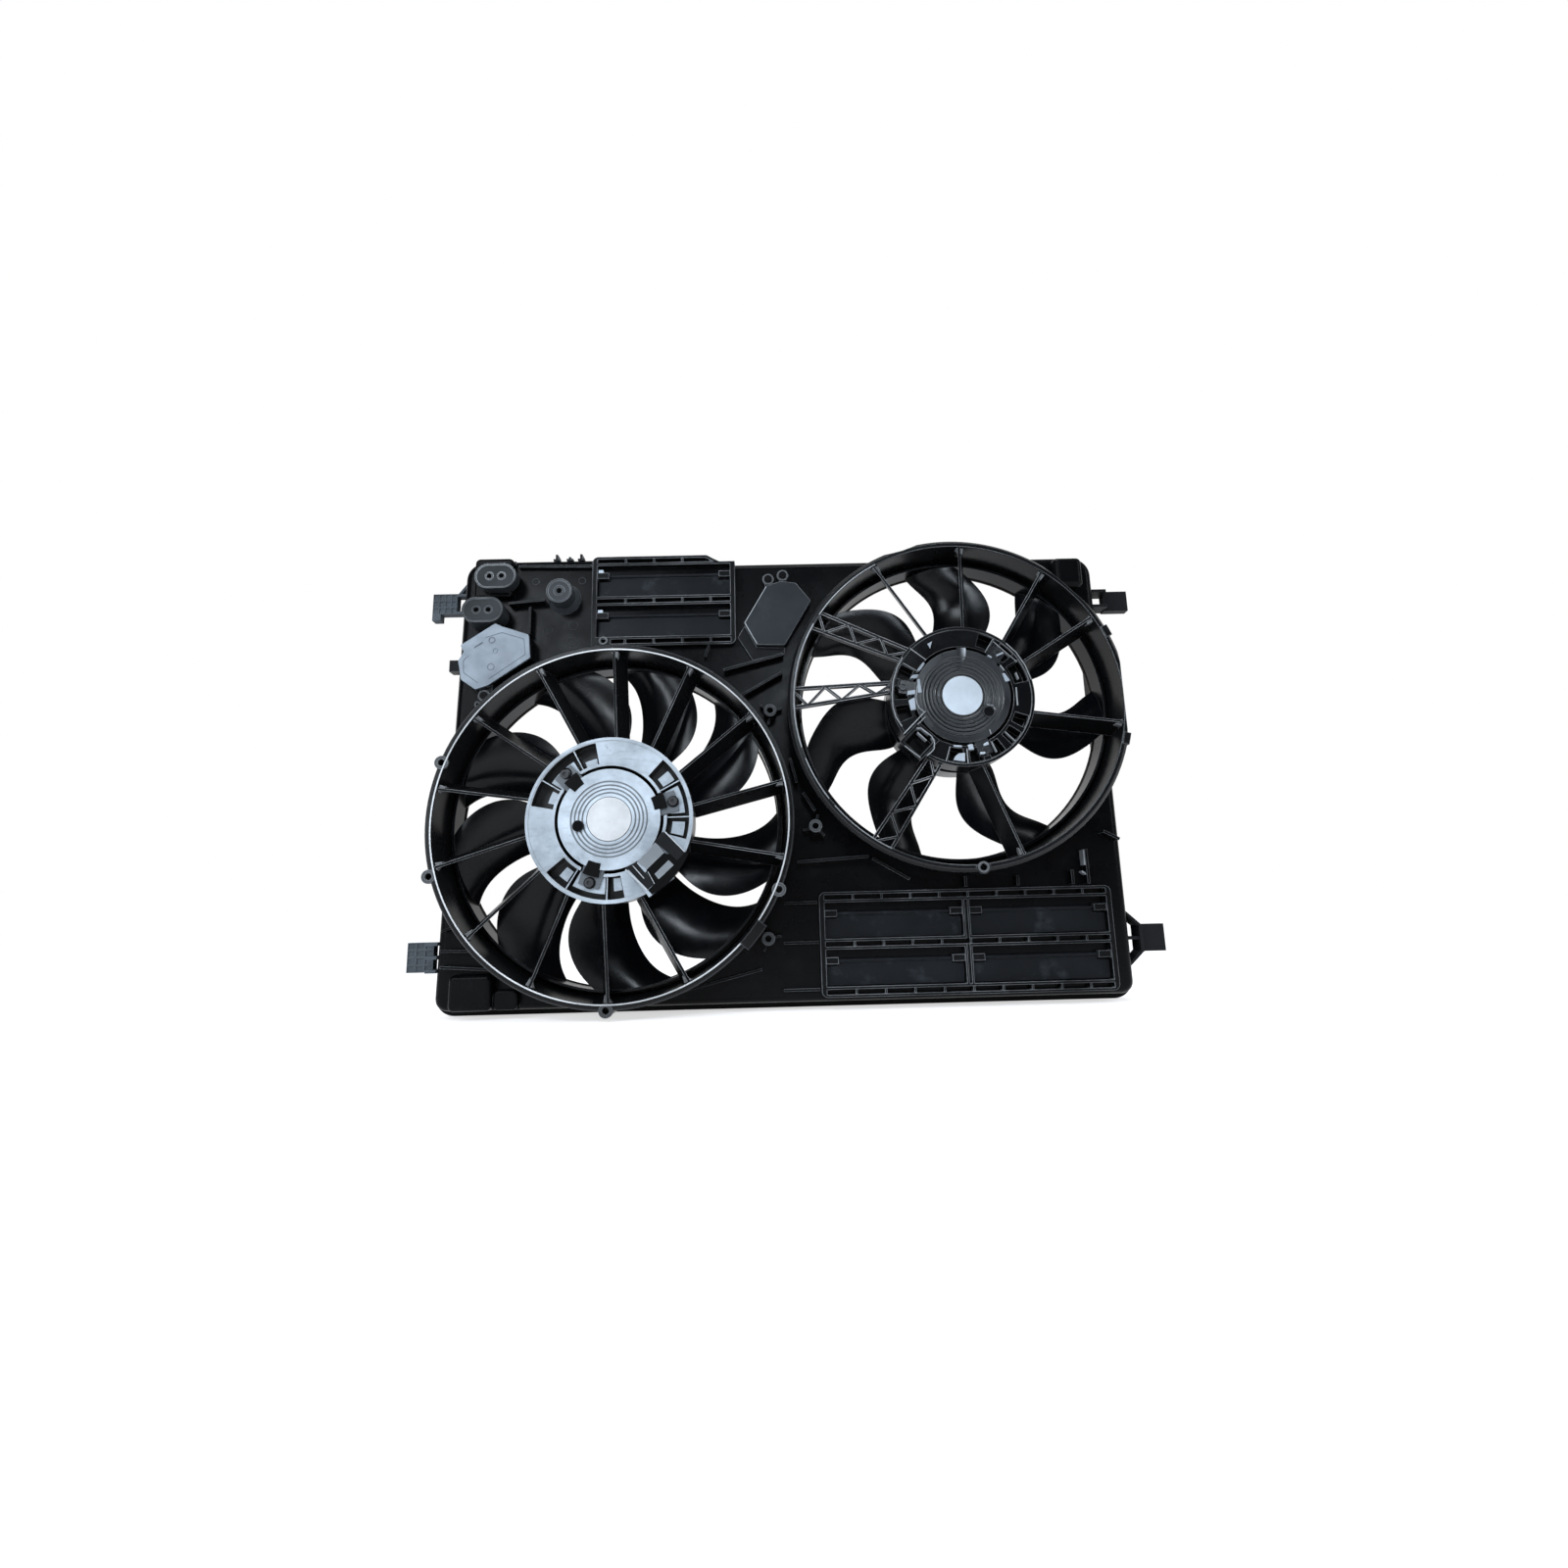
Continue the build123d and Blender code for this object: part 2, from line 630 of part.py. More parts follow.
def motor(side, axis, hub_z, plate_r, screw_ring_r, ear_w):
    """All the pieces of one motor, named for its side."""
    top = hub_z - end_plate_thickness
    inner_r = can_r - can_wall
    can = rod(can_r, can_floor_z, top) - rod(inner_r, can_floor_z + can_wall, top + 1)
    seat_low = can_floor_z + can_wall
    can += tube(bearing_r + 2.5, bearing_r, seat_low, seat_low + bearing_width)
    can -= rod(shaft_r + 2, can_floor_z - 1, seat_low + 1)
    can -= tube(can_r + 1, can_r - 0.6, top - 12, top - 9)

    plate_body = rod(plate_r, top, hub_z)
    for groove in range(4):
        ring = 24.0 + groove * 3.6
        plate_body -= tube(ring + 1.6, ring, hub_z - 0.8, hub_z + 1)
    plate_body -= tube(21.2, 20.2, hub_z - 1.2, hub_z + 1)
    ear_low = top - ear_thickness + 1.5
    for angle in ear_angles(side):
        ear = box((can_r + 0.3, screw_ring_r + ear_w / 4), (-ear_w / 2, ear_w / 2), (ear_low, top + 1.5))
        ear &= rod(screw_ring_r + 4, ear_low, top + 1.5)
        ear -= rod(can_r + 0.3, ear_low - 1, top)
        plate_body += turned(angle, ear)
        plate_body -= rod(screw_r + 0.3, ear_low - 1, top + 2, polar(screw_ring_r, angle))
    front_high = top
    front_low = top - bearing_width
    plate_body += tube(bearing_r + 2.5, bearing_r, front_low, front_high)

    bearings = [tube(bearing_r - seam, shaft_r + running_gap, seat_low, seat_low + bearing_width)]
    bearings += [tube(bearing_r - seam, shaft_r + running_gap, front_low, front_high)]

    stack_low = seat_low + bearing_width + 2
    stack_high = stack_low + armature_length
    magnet_in = armature_r + air_gap
    magnets = []
    for step in range(magnet_count):
        start = step * 360 / magnet_count - magnet_span / 2
        magnets.append(sector_block(magnet_in, inner_r - seam, start, magnet_span,
                                    stack_low - 1, stack_high + 1))

    core = tube(armature_r, shaft_r, stack_low, stack_high)
    slot_in = 13.0
    slot_span = 360 / armature_slots * 0.5
    windings = []
    for step in range(armature_slots):
        start = step * 360 / armature_slots
        core -= sector_block(slot_in, armature_r - 2, start, slot_span, stack_low - 1, stack_high + 1)
        core -= sector_block(armature_r - 3, armature_r + 1, start + slot_span / 2 - 1.5, 3,
                             stack_low - 1, stack_high + 1)
        windings.append(sector_block(slot_in + 0.1, armature_r - 2.6, start + 0.3, slot_span - 0.6,
                                     stack_low, stack_high))
    overhang = 1.8
    for low in (stack_low - overhang, stack_high):
        windings.append(tube(armature_r - 2.6, slot_in + 0.1, low, low + overhang))

    brush_z = stack_high + overhang + 2
    segment = rod(shaft_r + 1.5, brush_z - 1.5, brush_z + commutator_length)
    for step in range(commutator_bars):
        start = step * 360 / commutator_bars
        segment += sector_block(shaft_r + 1, commutator_r, start + 0.8, 360 / commutator_bars - 1.6,
                                brush_z - 1.5, brush_z + commutator_length)
    segment -= rod(shaft_r, 0, 120)

    card = tube(inner_r - seam, commutator_r + 4, brush_z, brush_z + 2)
    brushes = []
    for step in range(brush_count):
        angle = step * 360 / brush_count + 45
        carbon = box((commutator_r + 0.3, commutator_r + 13), (-3, 3), (brush_z + 3, brush_z + 8))
        guide = box((commutator_r + 5, commutator_r + 19), (-4.4, 4.4), (brush_z + 1, brush_z + 9.4))
        guide -= box((commutator_r, commutator_r + 17), (-3.05, 3.05), (brush_z + 2.95, brush_z + 8.05))
        card += turned(angle, guide)
        brushes.append(turned(angle, carbon))

    screws = []
    for angle in ear_angles(side):
        place = polar(screw_ring_r, angle)
        head_low = top + 1.5
        body = rod(screw_r, hub_z - mount_depth + 4, head_low, place)
        body += rod(screw_head_r, head_low, head_low + 2.2, place)
        socket = Pos(place[0], place[1], head_low + 0.7) * extrude(RegularPolygon(2.2, 6), 2)
        screws.append(body - socket)

    shaft_top = top - 0.5
    shaft = rod(shaft_r, shaft_end_z, shaft_top)
    nut_low = hub_cup_back - nut_height
    nut = Pos(0, 0, nut_low) * extrude(RegularPolygon(nut_r, 6) - Circle(shaft_r), nut_height)

    pieces = {
        "motor_can": can, "motor_end_plate": plate_body, "motor_bearings": Compound(bearings),
        "motor_magnets": Compound(magnets), "motor_brush_card": card, "motor_brushes": Compound(brushes),
        "motor_screws": Compound(screws), "motor_shaft": shaft, "motor_armature_core": core,
        "motor_windings": Compound(windings), "motor_commutator": segment, "fan_nut": nut,
    }
    return {f"{side}_{name}": at_axis(axis, shape) for name, shape in pieces.items()}


def end_plate_plugs():
    """Round plug on the face of each motor's end plate."""
    left = at_axis(left_axis, rod(plug_r, left_hub_z, left_hub_z + plug_height, polar(plug_at_r, -167.7)))
    right = at_axis(right_axis, rod(plug_r, right_hub_z, right_hub_z + plug_height, polar(plug_at_r, -36)))
    return Compound([left, right])


# Flap frames and flaps

def frame_windows(frame_at, columns, width):
    """Left, bottom and width of each window of one frame."""
    places = []
    for column in range(columns):
        for row in range(2):
            x = frame_at[0] + side_band + column * (width + column_gap)
            y = frame_at[1] + rail_band + row * (window_height + rail_band)
            places.append((x, y, width))
    return places


def windows():
    """Left, bottom and width of each window of both frames."""
    upper = frame_windows(top_frame_at, 1, top_window_width)
    return upper + frame_windows(bottom_frame_at, 2, bottom_window_width)


def frame_span(columns, width):
    """Width and height of a frame."""
    return (2 * side_band + columns * width + (columns - 1) * column_gap, 3 * rail_band + 2 * window_height)


def frame_sheet(frame_at, columns, width):
    """Outline of a frame."""
    span_x, span_y = frame_span(columns, width)
    middle = Pos(frame_at[0] + span_x / 2, frame_at[1] + span_y / 2)
    return middle * RectangleRounded(span_x, span_y, frame_round)


def flap_frame(frame_at, columns, width, pitch):
    """Frame with paired rails, short ribs between them, and the clips that hold the flap rods."""
    x0, y0 = frame_at
    span_x, span_y = frame_span(columns, width)
    top = pan_depth + rail_height
    body = Pos(0, 0, pan_depth) * extrude(frame_sheet(frame_at, columns, width), rail_height)
    for x, y, _ in frame_windows(frame_at, columns, width):
        body -= box((x, x + width), (y, y + window_height), (pan_depth - 1, top + 1))
    for row in range(3):
        low = y0 + row * (rail_band + window_height) + rail
        high = low + rail_band - 2 * rail
        groove = box((x0 + side_band, x0 + span_x - side_band), (low, high), (pan_depth, top + 1))
        count = int((span_x - 2 * side_band) // pitch)
        for step in range(1, count + 1):
            x = x0 + side_band + step * pitch
            if x < x0 + span_x - side_band - 4:
                groove -= box((x - 1, x + 1), (low, high), (pan_depth, top - 1))
        body -= groove
    for column in range(columns - 1):
        x = x0 + side_band + (column + 1) * width + column * column_gap
        gap = (x + column_gap / 2 - 1.3, x + column_gap / 2 + 1.3)
        body -= box(gap, (y0 + rail_band, y0 + span_y - rail_band), (pan_depth + 2, top + 1))
    return body + clips(frame_at, columns, width), top


def clips(frame_at, columns, width):
    """Socket clips at both ends of each flap rod of a frame."""
    pieces = []
    for x, y, _ in frame_windows(frame_at, columns, width):
        rod_y = y + window_height - rod_drop
        for low, high in ((x, x + clip_length), (x + width - clip_length, x + width)):
            pieces.append(box((low, high), (rod_y - clip_width / 2, rod_y + clip_width / 2),
                              (pan_depth, rod_z + clip_width / 2)))
    return pieces


def rod_bores(shape):
    """Bore the clips for the flap rods, with a running clearance."""
    for x, y, width in windows():
        rod_y = y + window_height - rod_drop
        shape -= Pos(x + width / 2, rod_y, rod_z) * Rot(0, 90, 0) * Cylinder(rod_r + running_gap, width)
    return shape


def top_frame_rail():
    """Lower and upper edge of the top frame's upper rail."""
    inner = top_frame_at[1] + 2 * (rail_band + window_height) + rail
    return inner, inner + rail_band - rail


def top_frame_cut():
    """Room beside the upper rail of the top frame, where the rail slopes down and ends."""
    inner, outer = top_frame_rail()
    slope = ((-74, outer), (-61, inner), (0, inner), (0, outer + 1), (-74, outer + 1))
    return plate(slope, 0, rim_z)


def top_flap_frame():
    """Frame of the two upper flaps, with its upper rail cut short and a screw eye at its foot."""
    body, top = flap_frame(top_frame_at, 1, top_window_width, top_rib_pitch)
    x0, y0 = top_frame_at
    inner, outer = top_frame_rail()
    body -= top_frame_cut()
    body += rib((-75, outer - rail / 2), (-61, inner - rail / 2), pan_depth, top)
    eye = (x0 + 12, y0 + 5)
    body += box((x0, x0 + 20), (y0 - 3, y0 + 10), (pan_depth, top)) - rod(3.4, top - 6, top + 1, eye)
    return rod_bores(body)


def bottom_flap_frame():
    """Frame of the four lower flaps."""
    body, top = flap_frame(bottom_frame_at, 2, bottom_window_width, bottom_rib_pitch)
    return rod_bores(body)


def flap(x, y, width):
    """One flap with its hinge rod."""
    rod_y = y + window_height - rod_drop
    low = pan_depth + flap_gap
    left = x + flap_side_gap
    right = x + width - flap_side_gap
    body = box((left, right), (y + flap_side_gap, rod_y - flap_notch), (low, low + flap_thickness))
    inner = clip_length + flap_side_gap
    body += box((x + inner, x + width - inner), (rod_y - flap_notch - 1, rod_y), (low, low + flap_thickness))
    reach = width - 2 * flap_side_gap
    pin = Pos(x + width / 2, rod_y, rod_z) * Rot(0, 90, 0) * Cylinder(rod_r, reach)
    web = box((x + inner, x + width - inner), (rod_y - rod_r, rod_y), (low, rod_z))
    return body + pin + web


# Side tabs

def tab(tip, outward, y_range, cells, hook):
    """Tab with a grid of shallow cells on its front, held off the side wall by arms."""
    low, high = y_range
    root = tip - outward * tab_length
    top = tab_back_z + tab_thickness
    body = box(sorted((root, tip)), y_range, (tab_back_z, top))
    columns, rows = cells
    if columns:
        cell_x = tab_length / columns
        cell_y = (high - low) / rows
        for column in range(columns):
            for row in range(rows):
                corner_x = min(root, tip) + column * cell_x
                corner_y = low + row * cell_y
                cell = [(corner_x + 0.8, corner_x + cell_x - 0.8), (corner_y + 0.8, corner_y + cell_y - 0.8)]
                body -= box(*cell, (top - 1, top + 1))
    if hook:
        body += box(sorted((tip, tip - outward * 9)), (low - 7, low), (tab_back_z, top))
    return body, root


def upper_left_tab():
    """Hooked tab with hatching, two arms and a brace."""
    y_range = (left_top - 51.5, left_top - 28.5)
    top = tab_back_z + tab_thickness
    body, root = tab(upper_left_tip, -1, y_range, (4, 3), True)
    for y in (y_range[0], y_range[1] - tab_arm):
        body += box((root, left_wall_x(y) - 0.5), (y, y + tab_arm), (tab_back_z, top))
    brace_y = left_top - 13.5
    body += rib((root + 1, y_range[1] - 2), (left_wall_x(brace_y) - 1, brace_y), tab_back_z, top)
    return body


def lower_left_tab():
    """Hatched tab with three arms."""
    y_range = (40.0, 69.0)
    body, root = tab(lower_left_tip, -1, y_range, (3, 4), False)
    for y in (y_range[0], sum(y_range) / 2 - tab_arm / 2, y_range[1] - tab_arm):
        body += box((root, left_wall_x(y) - 0.1), (y, y + tab_arm), (tab_back_z, pan_depth - 2))
    return body


def upper_right_tab():
    """Plain tab with two arms."""
    y_range = (right_top - 55.0, right_top - 33.0)
    body, root = tab(upper_right_tip, 1, y_range, (0, 0), False)
    for y in (y_range[0] + 1, y_range[1] - tab_arm - 1):
        body += box((pan_right + 0.1, root), (y, y + tab_arm), (tab_back_z, tab_back_z + 18))
    return body


def lower_right_tab():
    """Plain tab with a bracket that widens towards the wall."""
    y_range = (42.5, 69.0)
    body, root = tab(lower_right_tip, 1, y_range, (0, 0), False)
    low, high = y_range
    top = tab_back_z + 18
    body += box((root - 3, root), (low, high), (tab_back_z, top))
    body += rib((root - 1.5, high - 1), (pan_right + 1.2, high + 12), tab_back_z, top)
    body += rib((root - 1.5, low + 1), (pan_right + 1.2, low - 12), tab_back_z, top)
    middle = (low + high) / 2
    arm = (pan_right + 0.1, root)
    body += box(arm, (middle - 1.5, middle + 1.5), (tab_back_z, tab_back_z + 16))
    return body


# Bosses, posts and control modules

def oval_boss(at, base_z):
    """Oval boss with two holes on a line."""
    shape = SlotOverall(oval_boss_length, oval_boss_width)
    body = Pos(at[0], at[1], base_z) * extrude(shape, oval_boss_z - base_z)
    rim = offset(shape, amount=-1.6)
    body -= Pos(at[0], at[1], oval_boss_z - 0.8) * extrude(rim, 1)
    for turn in (-1, 1):
        place = (at[0] + turn * oval_hole_pitch / 2, at[1])
        body += rod(oval_hole_r + 1.5, oval_boss_z - 2, oval_boss_z, place)
        body -= rod(oval_hole_r, oval_boss_z - 16, oval_boss_z + 1, place)
    return body


def oval_bosses():
    """Upper boss on the corner block and lower boss on the face plate."""
    return Compound([oval_boss(upper_oval_at, 50.0), oval_boss(lower_oval_at, pan_depth)])


def round_boss():
    """Round boss on a wider foot."""
    body = rod(round_boss_r, pan_depth, round_boss_z, round_boss_at)
    body += Pos(*round_boss_at, pan_depth) * Cone(round_boss_r + 4, round_boss_r, 6,
                                                  align=(Align.CENTER, Align.CENTER, Align.MIN))
    body -= tube(round_boss_r - 2, round_hole_r + 2.5, round_boss_z - 1, round_boss_z + 1, round_boss_at)
    return body - rod(round_hole_r, round_boss_z - 18, round_boss_z + 1, round_boss_at)


def harness_posts():
    """Posts with a screw hole and small gussets, for the cable clips."""
    posts = []
    for at, turn in (((-10.6, 288.5), 20), ((31.1, 171.3), 75), ((-17.2, 65.0), 10)):
        body = rod(post_r, pan_depth, post_z, at)
        for step in range(3):
            gusset = box((0, post_r + 6), (-1.1, 1.1), (pan_depth, post_z - 8))
            body += Pos(*at, 0) * turned(turn + step * 120, gusset)
        posts.append(body - rod(post_hole_r, post_z - post_hole_depth, post_z + 1, at))
    return Compound(posts)


left_module_points = [(-288.5, 386.5), (-281, 383), (-254, 373.6), (-252, 349), (-293, 321), (-305.5, 317),
                      (-320, 327.5), (-324, 347), (-318.9, 357), (-322.5, 363.8), (-297.4, 380.6)]
left_module_eye = (-298.0, 311.5)
right_module_points = [(-11, 424.5), (-35.3, 384), (-22.8, 360.2), (6, 359.2), (34, 406.8), (19, 426.6)]
right_module_points += [(3.4, 429)]
right_module_eyes = ((-9.7, 434.0), (5.5, 438.0))


def module_case(points, top, corner):
    """Open box of a control module, closed by its lid."""
    body = plate(points, pan_depth, top, corner)
    sheet = fillet(make_face(Polyline(points, close=True)).vertices(), corner)
    room = Pos(0, 0, pan_depth + module_wall) * extrude(offset(sheet, amount=-module_wall), top - pan_depth)
    return body - room


def screw_eye(at, top, radius=module_screw_eye_r):
    """Ear of a module with a hole for its screw."""
    return tube(radius, screw_r + 0.1, pan_depth, top, at)


def module_screws():
    """Screws of both control modules."""
    screws = []
    for at, top in ((left_module_eye, 56.0), (right_module_eyes[0], 49.0), (right_module_eyes[1], 49.0)):
        body = rod(screw_r, pan_depth + 1, top, at) + rod(screw_head_r - 0.4, top, top + 2, at)
        screws.append(body - Pos(at[0], at[1], top + 0.6) * extrude(RegularPolygon(2.0, 6), 2))
    return Compound(screws)


def left_module_case():
    """Case of the left module, with its screw eyes."""
    body = module_case(left_module_points, left_module_z, 1.5)
    ear = box((-303, -290), (311, 324), (pan_depth, 56.0)) - plate(left_module_points, 0, 99, 1.5)
    body += (ear + rod(module_screw_eye_r, pan_depth, 56.0, left_module_eye))
    return body - rod(screw_r + 0.1, pan_depth - 1, 60, left_module_eye)


def right_module_case():
    """Case of the right module, on its bevelled foot, with two screw eyes."""
    body = module_case(right_module_points, right_module_z, 2.0)
    foot = [(-35.3, 384), (-42.5, 371.5), (-27.5, 346.5), (5.5, 352.5), (6, 359.2), (-22.8, 360.2)]
    body += plate(foot, pan_depth, pan_depth + 4) - plate(right_module_points, 0, 99, 2.0)
    for eye in right_module_eyes:
        neck = rib(eye, (eye[0], eye[1] - 13), pan_depth, 49.0, 7)
        body += (neck - plate(right_module_points, 0, 99, 2.0)) + rod(5.2, pan_depth, 49.0, eye)
    for eye in right_module_eyes:
        body -= rod(screw_r + 0.1, pan_depth - 1, 60, eye)
    return body


def module_lid(points, low, corner):
    """Flat lid of a control module."""
    return plate(points, low, low + lid_thickness, corner)


def left_module_connector():
    """Connector shell on the left side of the left module."""
    body = box((-335, -319), (338, 350), (pan_depth + 2, pan_depth + 13))
    body -= plate(left_module_points, 0, 99, 1.5)
    return body - box((-336, -326), (340, 348), (pan_depth + 4, pan_depth + 11))


def all_pieces():
    """Every node by name."""
    pieces = {
        "shroud_rim": shroud_rim(), "shroud_face": shroud_face(), "corner_blocks": corner_blocks(),
        "face_ribs": face_ribs(), "edge_clips": edge_clips(),
        "left_barrel": left_barrel(), "right_barrel": right_barrel(),
        "left_vanes": left_vanes(), "right_vanes": right_vanes(),
        "right_lattice_struts": right_lattice_struts(),
        "left_motor_mount": left_motor_mount(), "right_motor_mount": right_motor_mount(),
        "top_flap_frame": top_flap_frame(), "bottom_flap_frame": bottom_flap_frame(),
        "upper_left_tab": upper_left_tab(), "lower_left_tab": lower_left_tab(),
        "upper_right_tab": upper_right_tab(), "lower_right_tab": lower_right_tab(),
        "oval_bosses": oval_bosses(), "round_boss": round_boss(), "harness_posts": harness_posts(),
        "left_module_case": left_module_case(), "right_module_case": right_module_case(),
        "left_module_lid": module_lid(left_module_points, left_module_z, 1.5),
        "right_module_lid": module_lid(right_module_points, right_module_z, 2.0),
        "left_module_connector": left_module_connector(), "module_screws": module_screws(),
        "end_plate_plugs": end_plate_plugs(),
    }
    left_fan = impeller(left_hub_cup_r, left_band_r, left_blade_angles, left_blade_edges)
    right_fan = impeller(right_hub_cup_r, right_band_r, right_blade_angles, right_blade_edges)
    pieces["left_fan_impeller"] = at_axis(left_axis, left_fan)
    pieces["right_fan_impeller"] = at_axis(right_axis, right_fan)
    pieces.update(motor("left", left_axis, left_hub_z, left_plate_r, ear_screw_r, ear_width))
    pieces.update(motor("right", right_axis, right_hub_z, right_plate_r, right_ear_r, 13.0))
    names = ("top_flap_lower", "top_flap_upper", "bottom_left_flap_lower", "bottom_left_flap_upper",
             "bottom_right_flap_lower", "bottom_right_flap_upper")
    for name, place in zip(names, windows()):
        pieces[name] = flap(*place)
    return pieces


os.makedirs("parts", exist_ok=True)
for name, shape in all_pieces().items():
    export_step(Plane.XZ * shape, f"parts/{name}.step")
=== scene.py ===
from math import cos, hypot, pi, radians, sin

import bmesh
import bpy
from mathutils import Matrix, Vector


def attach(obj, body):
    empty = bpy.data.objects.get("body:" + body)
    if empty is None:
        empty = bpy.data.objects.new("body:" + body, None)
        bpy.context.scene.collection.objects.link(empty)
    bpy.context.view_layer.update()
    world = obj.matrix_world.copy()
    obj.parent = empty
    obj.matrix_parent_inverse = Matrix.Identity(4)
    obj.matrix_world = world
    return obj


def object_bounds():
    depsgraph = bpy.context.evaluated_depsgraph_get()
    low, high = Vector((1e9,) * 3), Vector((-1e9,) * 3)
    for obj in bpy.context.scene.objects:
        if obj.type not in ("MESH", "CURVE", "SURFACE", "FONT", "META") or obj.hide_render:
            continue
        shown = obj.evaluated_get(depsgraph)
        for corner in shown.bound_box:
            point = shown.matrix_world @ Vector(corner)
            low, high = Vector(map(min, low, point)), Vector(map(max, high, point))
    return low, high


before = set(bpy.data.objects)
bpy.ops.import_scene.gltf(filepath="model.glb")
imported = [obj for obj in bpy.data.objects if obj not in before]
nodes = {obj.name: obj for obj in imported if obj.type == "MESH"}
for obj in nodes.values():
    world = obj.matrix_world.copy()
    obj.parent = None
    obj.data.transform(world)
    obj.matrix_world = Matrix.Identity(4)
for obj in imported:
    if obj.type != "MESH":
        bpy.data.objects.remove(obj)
cad_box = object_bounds()

MM = 0.001

# Fan axes, in mm across and up
LEFT_AXIS = (-163.0, 179.0)
RIGHT_AXIS = (173.5, 288.5)

# Bands of a noise's values that hold most of a surface
MIDDLE = (0.35, 0.7)
BROAD = (0.3, 0.7)

# Likeness of the rounded and the flat normal at which an edge's painted highlight begins to show
EDGE_START = 0.995

# Middle of the assembly in metres, where the lamps for all of it point
CENTRE = (0, -0.05, 0.24)


# Node helpers

def scaled(color, factor):
    """Lighter or darker version of a colour."""
    return [min(1.0, c * factor) for c in color]


class Graph:
    """Adds and links the nodes of one node tree."""

    def __init__(self, tree):
        self.tree = tree
        tree.nodes.clear()
        self.coords = self.node("TexCoord")

    def node(self, kind, inputs=None, **settings):
        made = self.tree.nodes.new("ShaderNode" + kind)
        for key, value in settings.items():
            setattr(made, key, value)
        for key, value in (inputs or {}).items():
            self.put(made.inputs[key], value)
        return made

    def put(self, socket, value):
        if isinstance(value, bpy.types.NodeSocket):
            self.tree.links.new(value, socket)
        else:
            socket.default_value = value

    def math(self, operation, first, second=0.0):
        made = self.node("Math", operation=operation)
        self.put(made.inputs[0], first)
        self.put(made.inputs[1], second)
        return made.outputs["Value"]

    def times(self, first, second):
        return self.math("MULTIPLY", first, second)

    def spread(self, value, low, high, to_low=0.0, to_high=1.0):
        """Value carried from one range to another and held inside it."""
        return self.node("MapRange", {"Value": value, "From Min": low, "From Max": high, "To Min": to_low,
                                      "To Max": to_high}).outputs["Result"]

    def blend(self, factor, first, second):
        made = self.node("Mix", data_type="RGBA")
        self.put(made.inputs["Factor"], factor)
        for socket, value in ((made.inputs[6], first), (made.inputs[7], second)):
            self.put(socket, value if isinstance(value, bpy.types.NodeSocket) else (*value, 1.0))
        return made.outputs[2]

    def coordinate(self, kind, axis):
        """One axis of a texture coordinate, such as Object or Normal."""
        return self.node("SeparateXYZ", {"Vector": self.coords.outputs[kind]}).outputs[axis]


class Shader(Graph):
    """Node tree of one material, around a Principled shader."""

    def __init__(self, name):
        self.material = bpy.data.materials.new(name)
        self.material.use_nodes = True
        super().__init__(self.material.node_tree)
        self.bsdf = self.node("BsdfPrincipled")
        self.node("OutputMaterial", {"Surface": self.bsdf.outputs["BSDF"]})

    def noise(self, scale, detail=3.0, roughness=0.55, stretch=(1, 1, 1)):
        place = self.node("Mapping", {"Vector": self.coords.outputs["Object"], "Scale": stretch})
        return self.node("TexNoise", {"Vector": place.outputs["Vector"], "Scale": scale, "Detail": detail,
                                      "Roughness": roughness}).outputs["Fac"]

    def radius_about(self, axis):
        """Distance from a fan's axis, in metres."""
        across = self.math("SUBTRACT", self.coordinate("Object", "X"), axis[0] * MM)
        along = self.math("SUBTRACT", self.coordinate("Object", "Z"), axis[1] * MM)
        square = self.math("ADD", self.times(across, across), self.times(along, along))
        return self.math("SQRT", square)

    def edges(self, radius, full=0.80):
        """Normal rounded at the edges, and a mask that is 1 on an edge, where painted edge highlights go."""
        bevel = self.node("Bevel", {"Radius": radius}, samples=6)
        flat = self.node("NewGeometry")
        dot = self.node("VectorMath", operation="DOT_PRODUCT")
        self.put(dot.inputs[0], bevel.outputs["Normal"])
        self.put(dot.inputs[1], flat.outputs["Normal"])
        return bevel.outputs["Normal"], self.spread(dot.outputs["Value"], EDGE_START, full)

    def mottle(self, value, dark, pale, band=MIDDLE):
        """Colour that drifts between two tones with a noise."""
        return self.blend(self.spread(value, *band), dark, pale)

    def broken(self, scale, band):
        """Strength of a painted edge highlight that comes and goes along an edge."""
        return self.spread(self.noise(scale, 3.0, 0.6), *band, 0.25, 1.0)

    def shine(self, value, low, high):
        """Roughness that drifts with a noise."""
        return self.spread(value, *BROAD, low, high)

    def bump(self, height, strength, distance, normal):
        return self.node("Bump", {"Height": height, "Strength": strength, "Distance": distance,
                                  "Normal": normal}).outputs["Normal"]

    def finish(self, color, roughness, normal=None, **constants):
        self.put(self.bsdf.inputs["Base Color"], color)
        self.put(self.bsdf.inputs["Roughness"], roughness)
        if normal is not None:
            self.put(self.bsdf.inputs["Normal"], normal)
        for key, value in constants.items():
            self.bsdf.inputs[key.replace("_", " ")].default_value = value
        return self.material


def plastic(name, color, roughness, edge=(0.10, 0.11, 0.12), edge_radius=0.0009, dust_and_sheen=0.25, gloss=0.07,
            sheen=(0.02, 0.022, 0.025)):
    """Moulded plastic: cloudy colour, patches of dust mixed with painted sheen, fine grain and painted
    highlights along the edges.
    """
    s = Shader(name)
    normal, mask = s.edges(edge_radius, 0.86)
    tone = s.mottle(s.noise(9.0, 4.0), scaled(color, 0.6), scaled(color, 1.4))
    # Patches of dust, partly a painted sheen
    tone = s.blend(s.spread(s.noise(38.0, 5.0, 0.65), 0.55, 0.8, 0.0, dust_and_sheen), tone, sheen)
    # Painted highlight along the edges
    tone = s.blend(s.times(mask, s.broken(14.0, (0.35, 0.62))), tone, edge)
    shine = s.shine(s.noise(24.0, 4.0, 0.6), roughness - 0.07, roughness + 0.09)
    grain = s.bump(s.noise(1500.0, 1.0), 0.12, 0.0002, normal)
    wavy = s.bump(s.noise(30.0, 2.0), 0.10, 0.002, grain)
    return s.finish(tone, shine, wavy, Specular_IOR_Level=gloss)


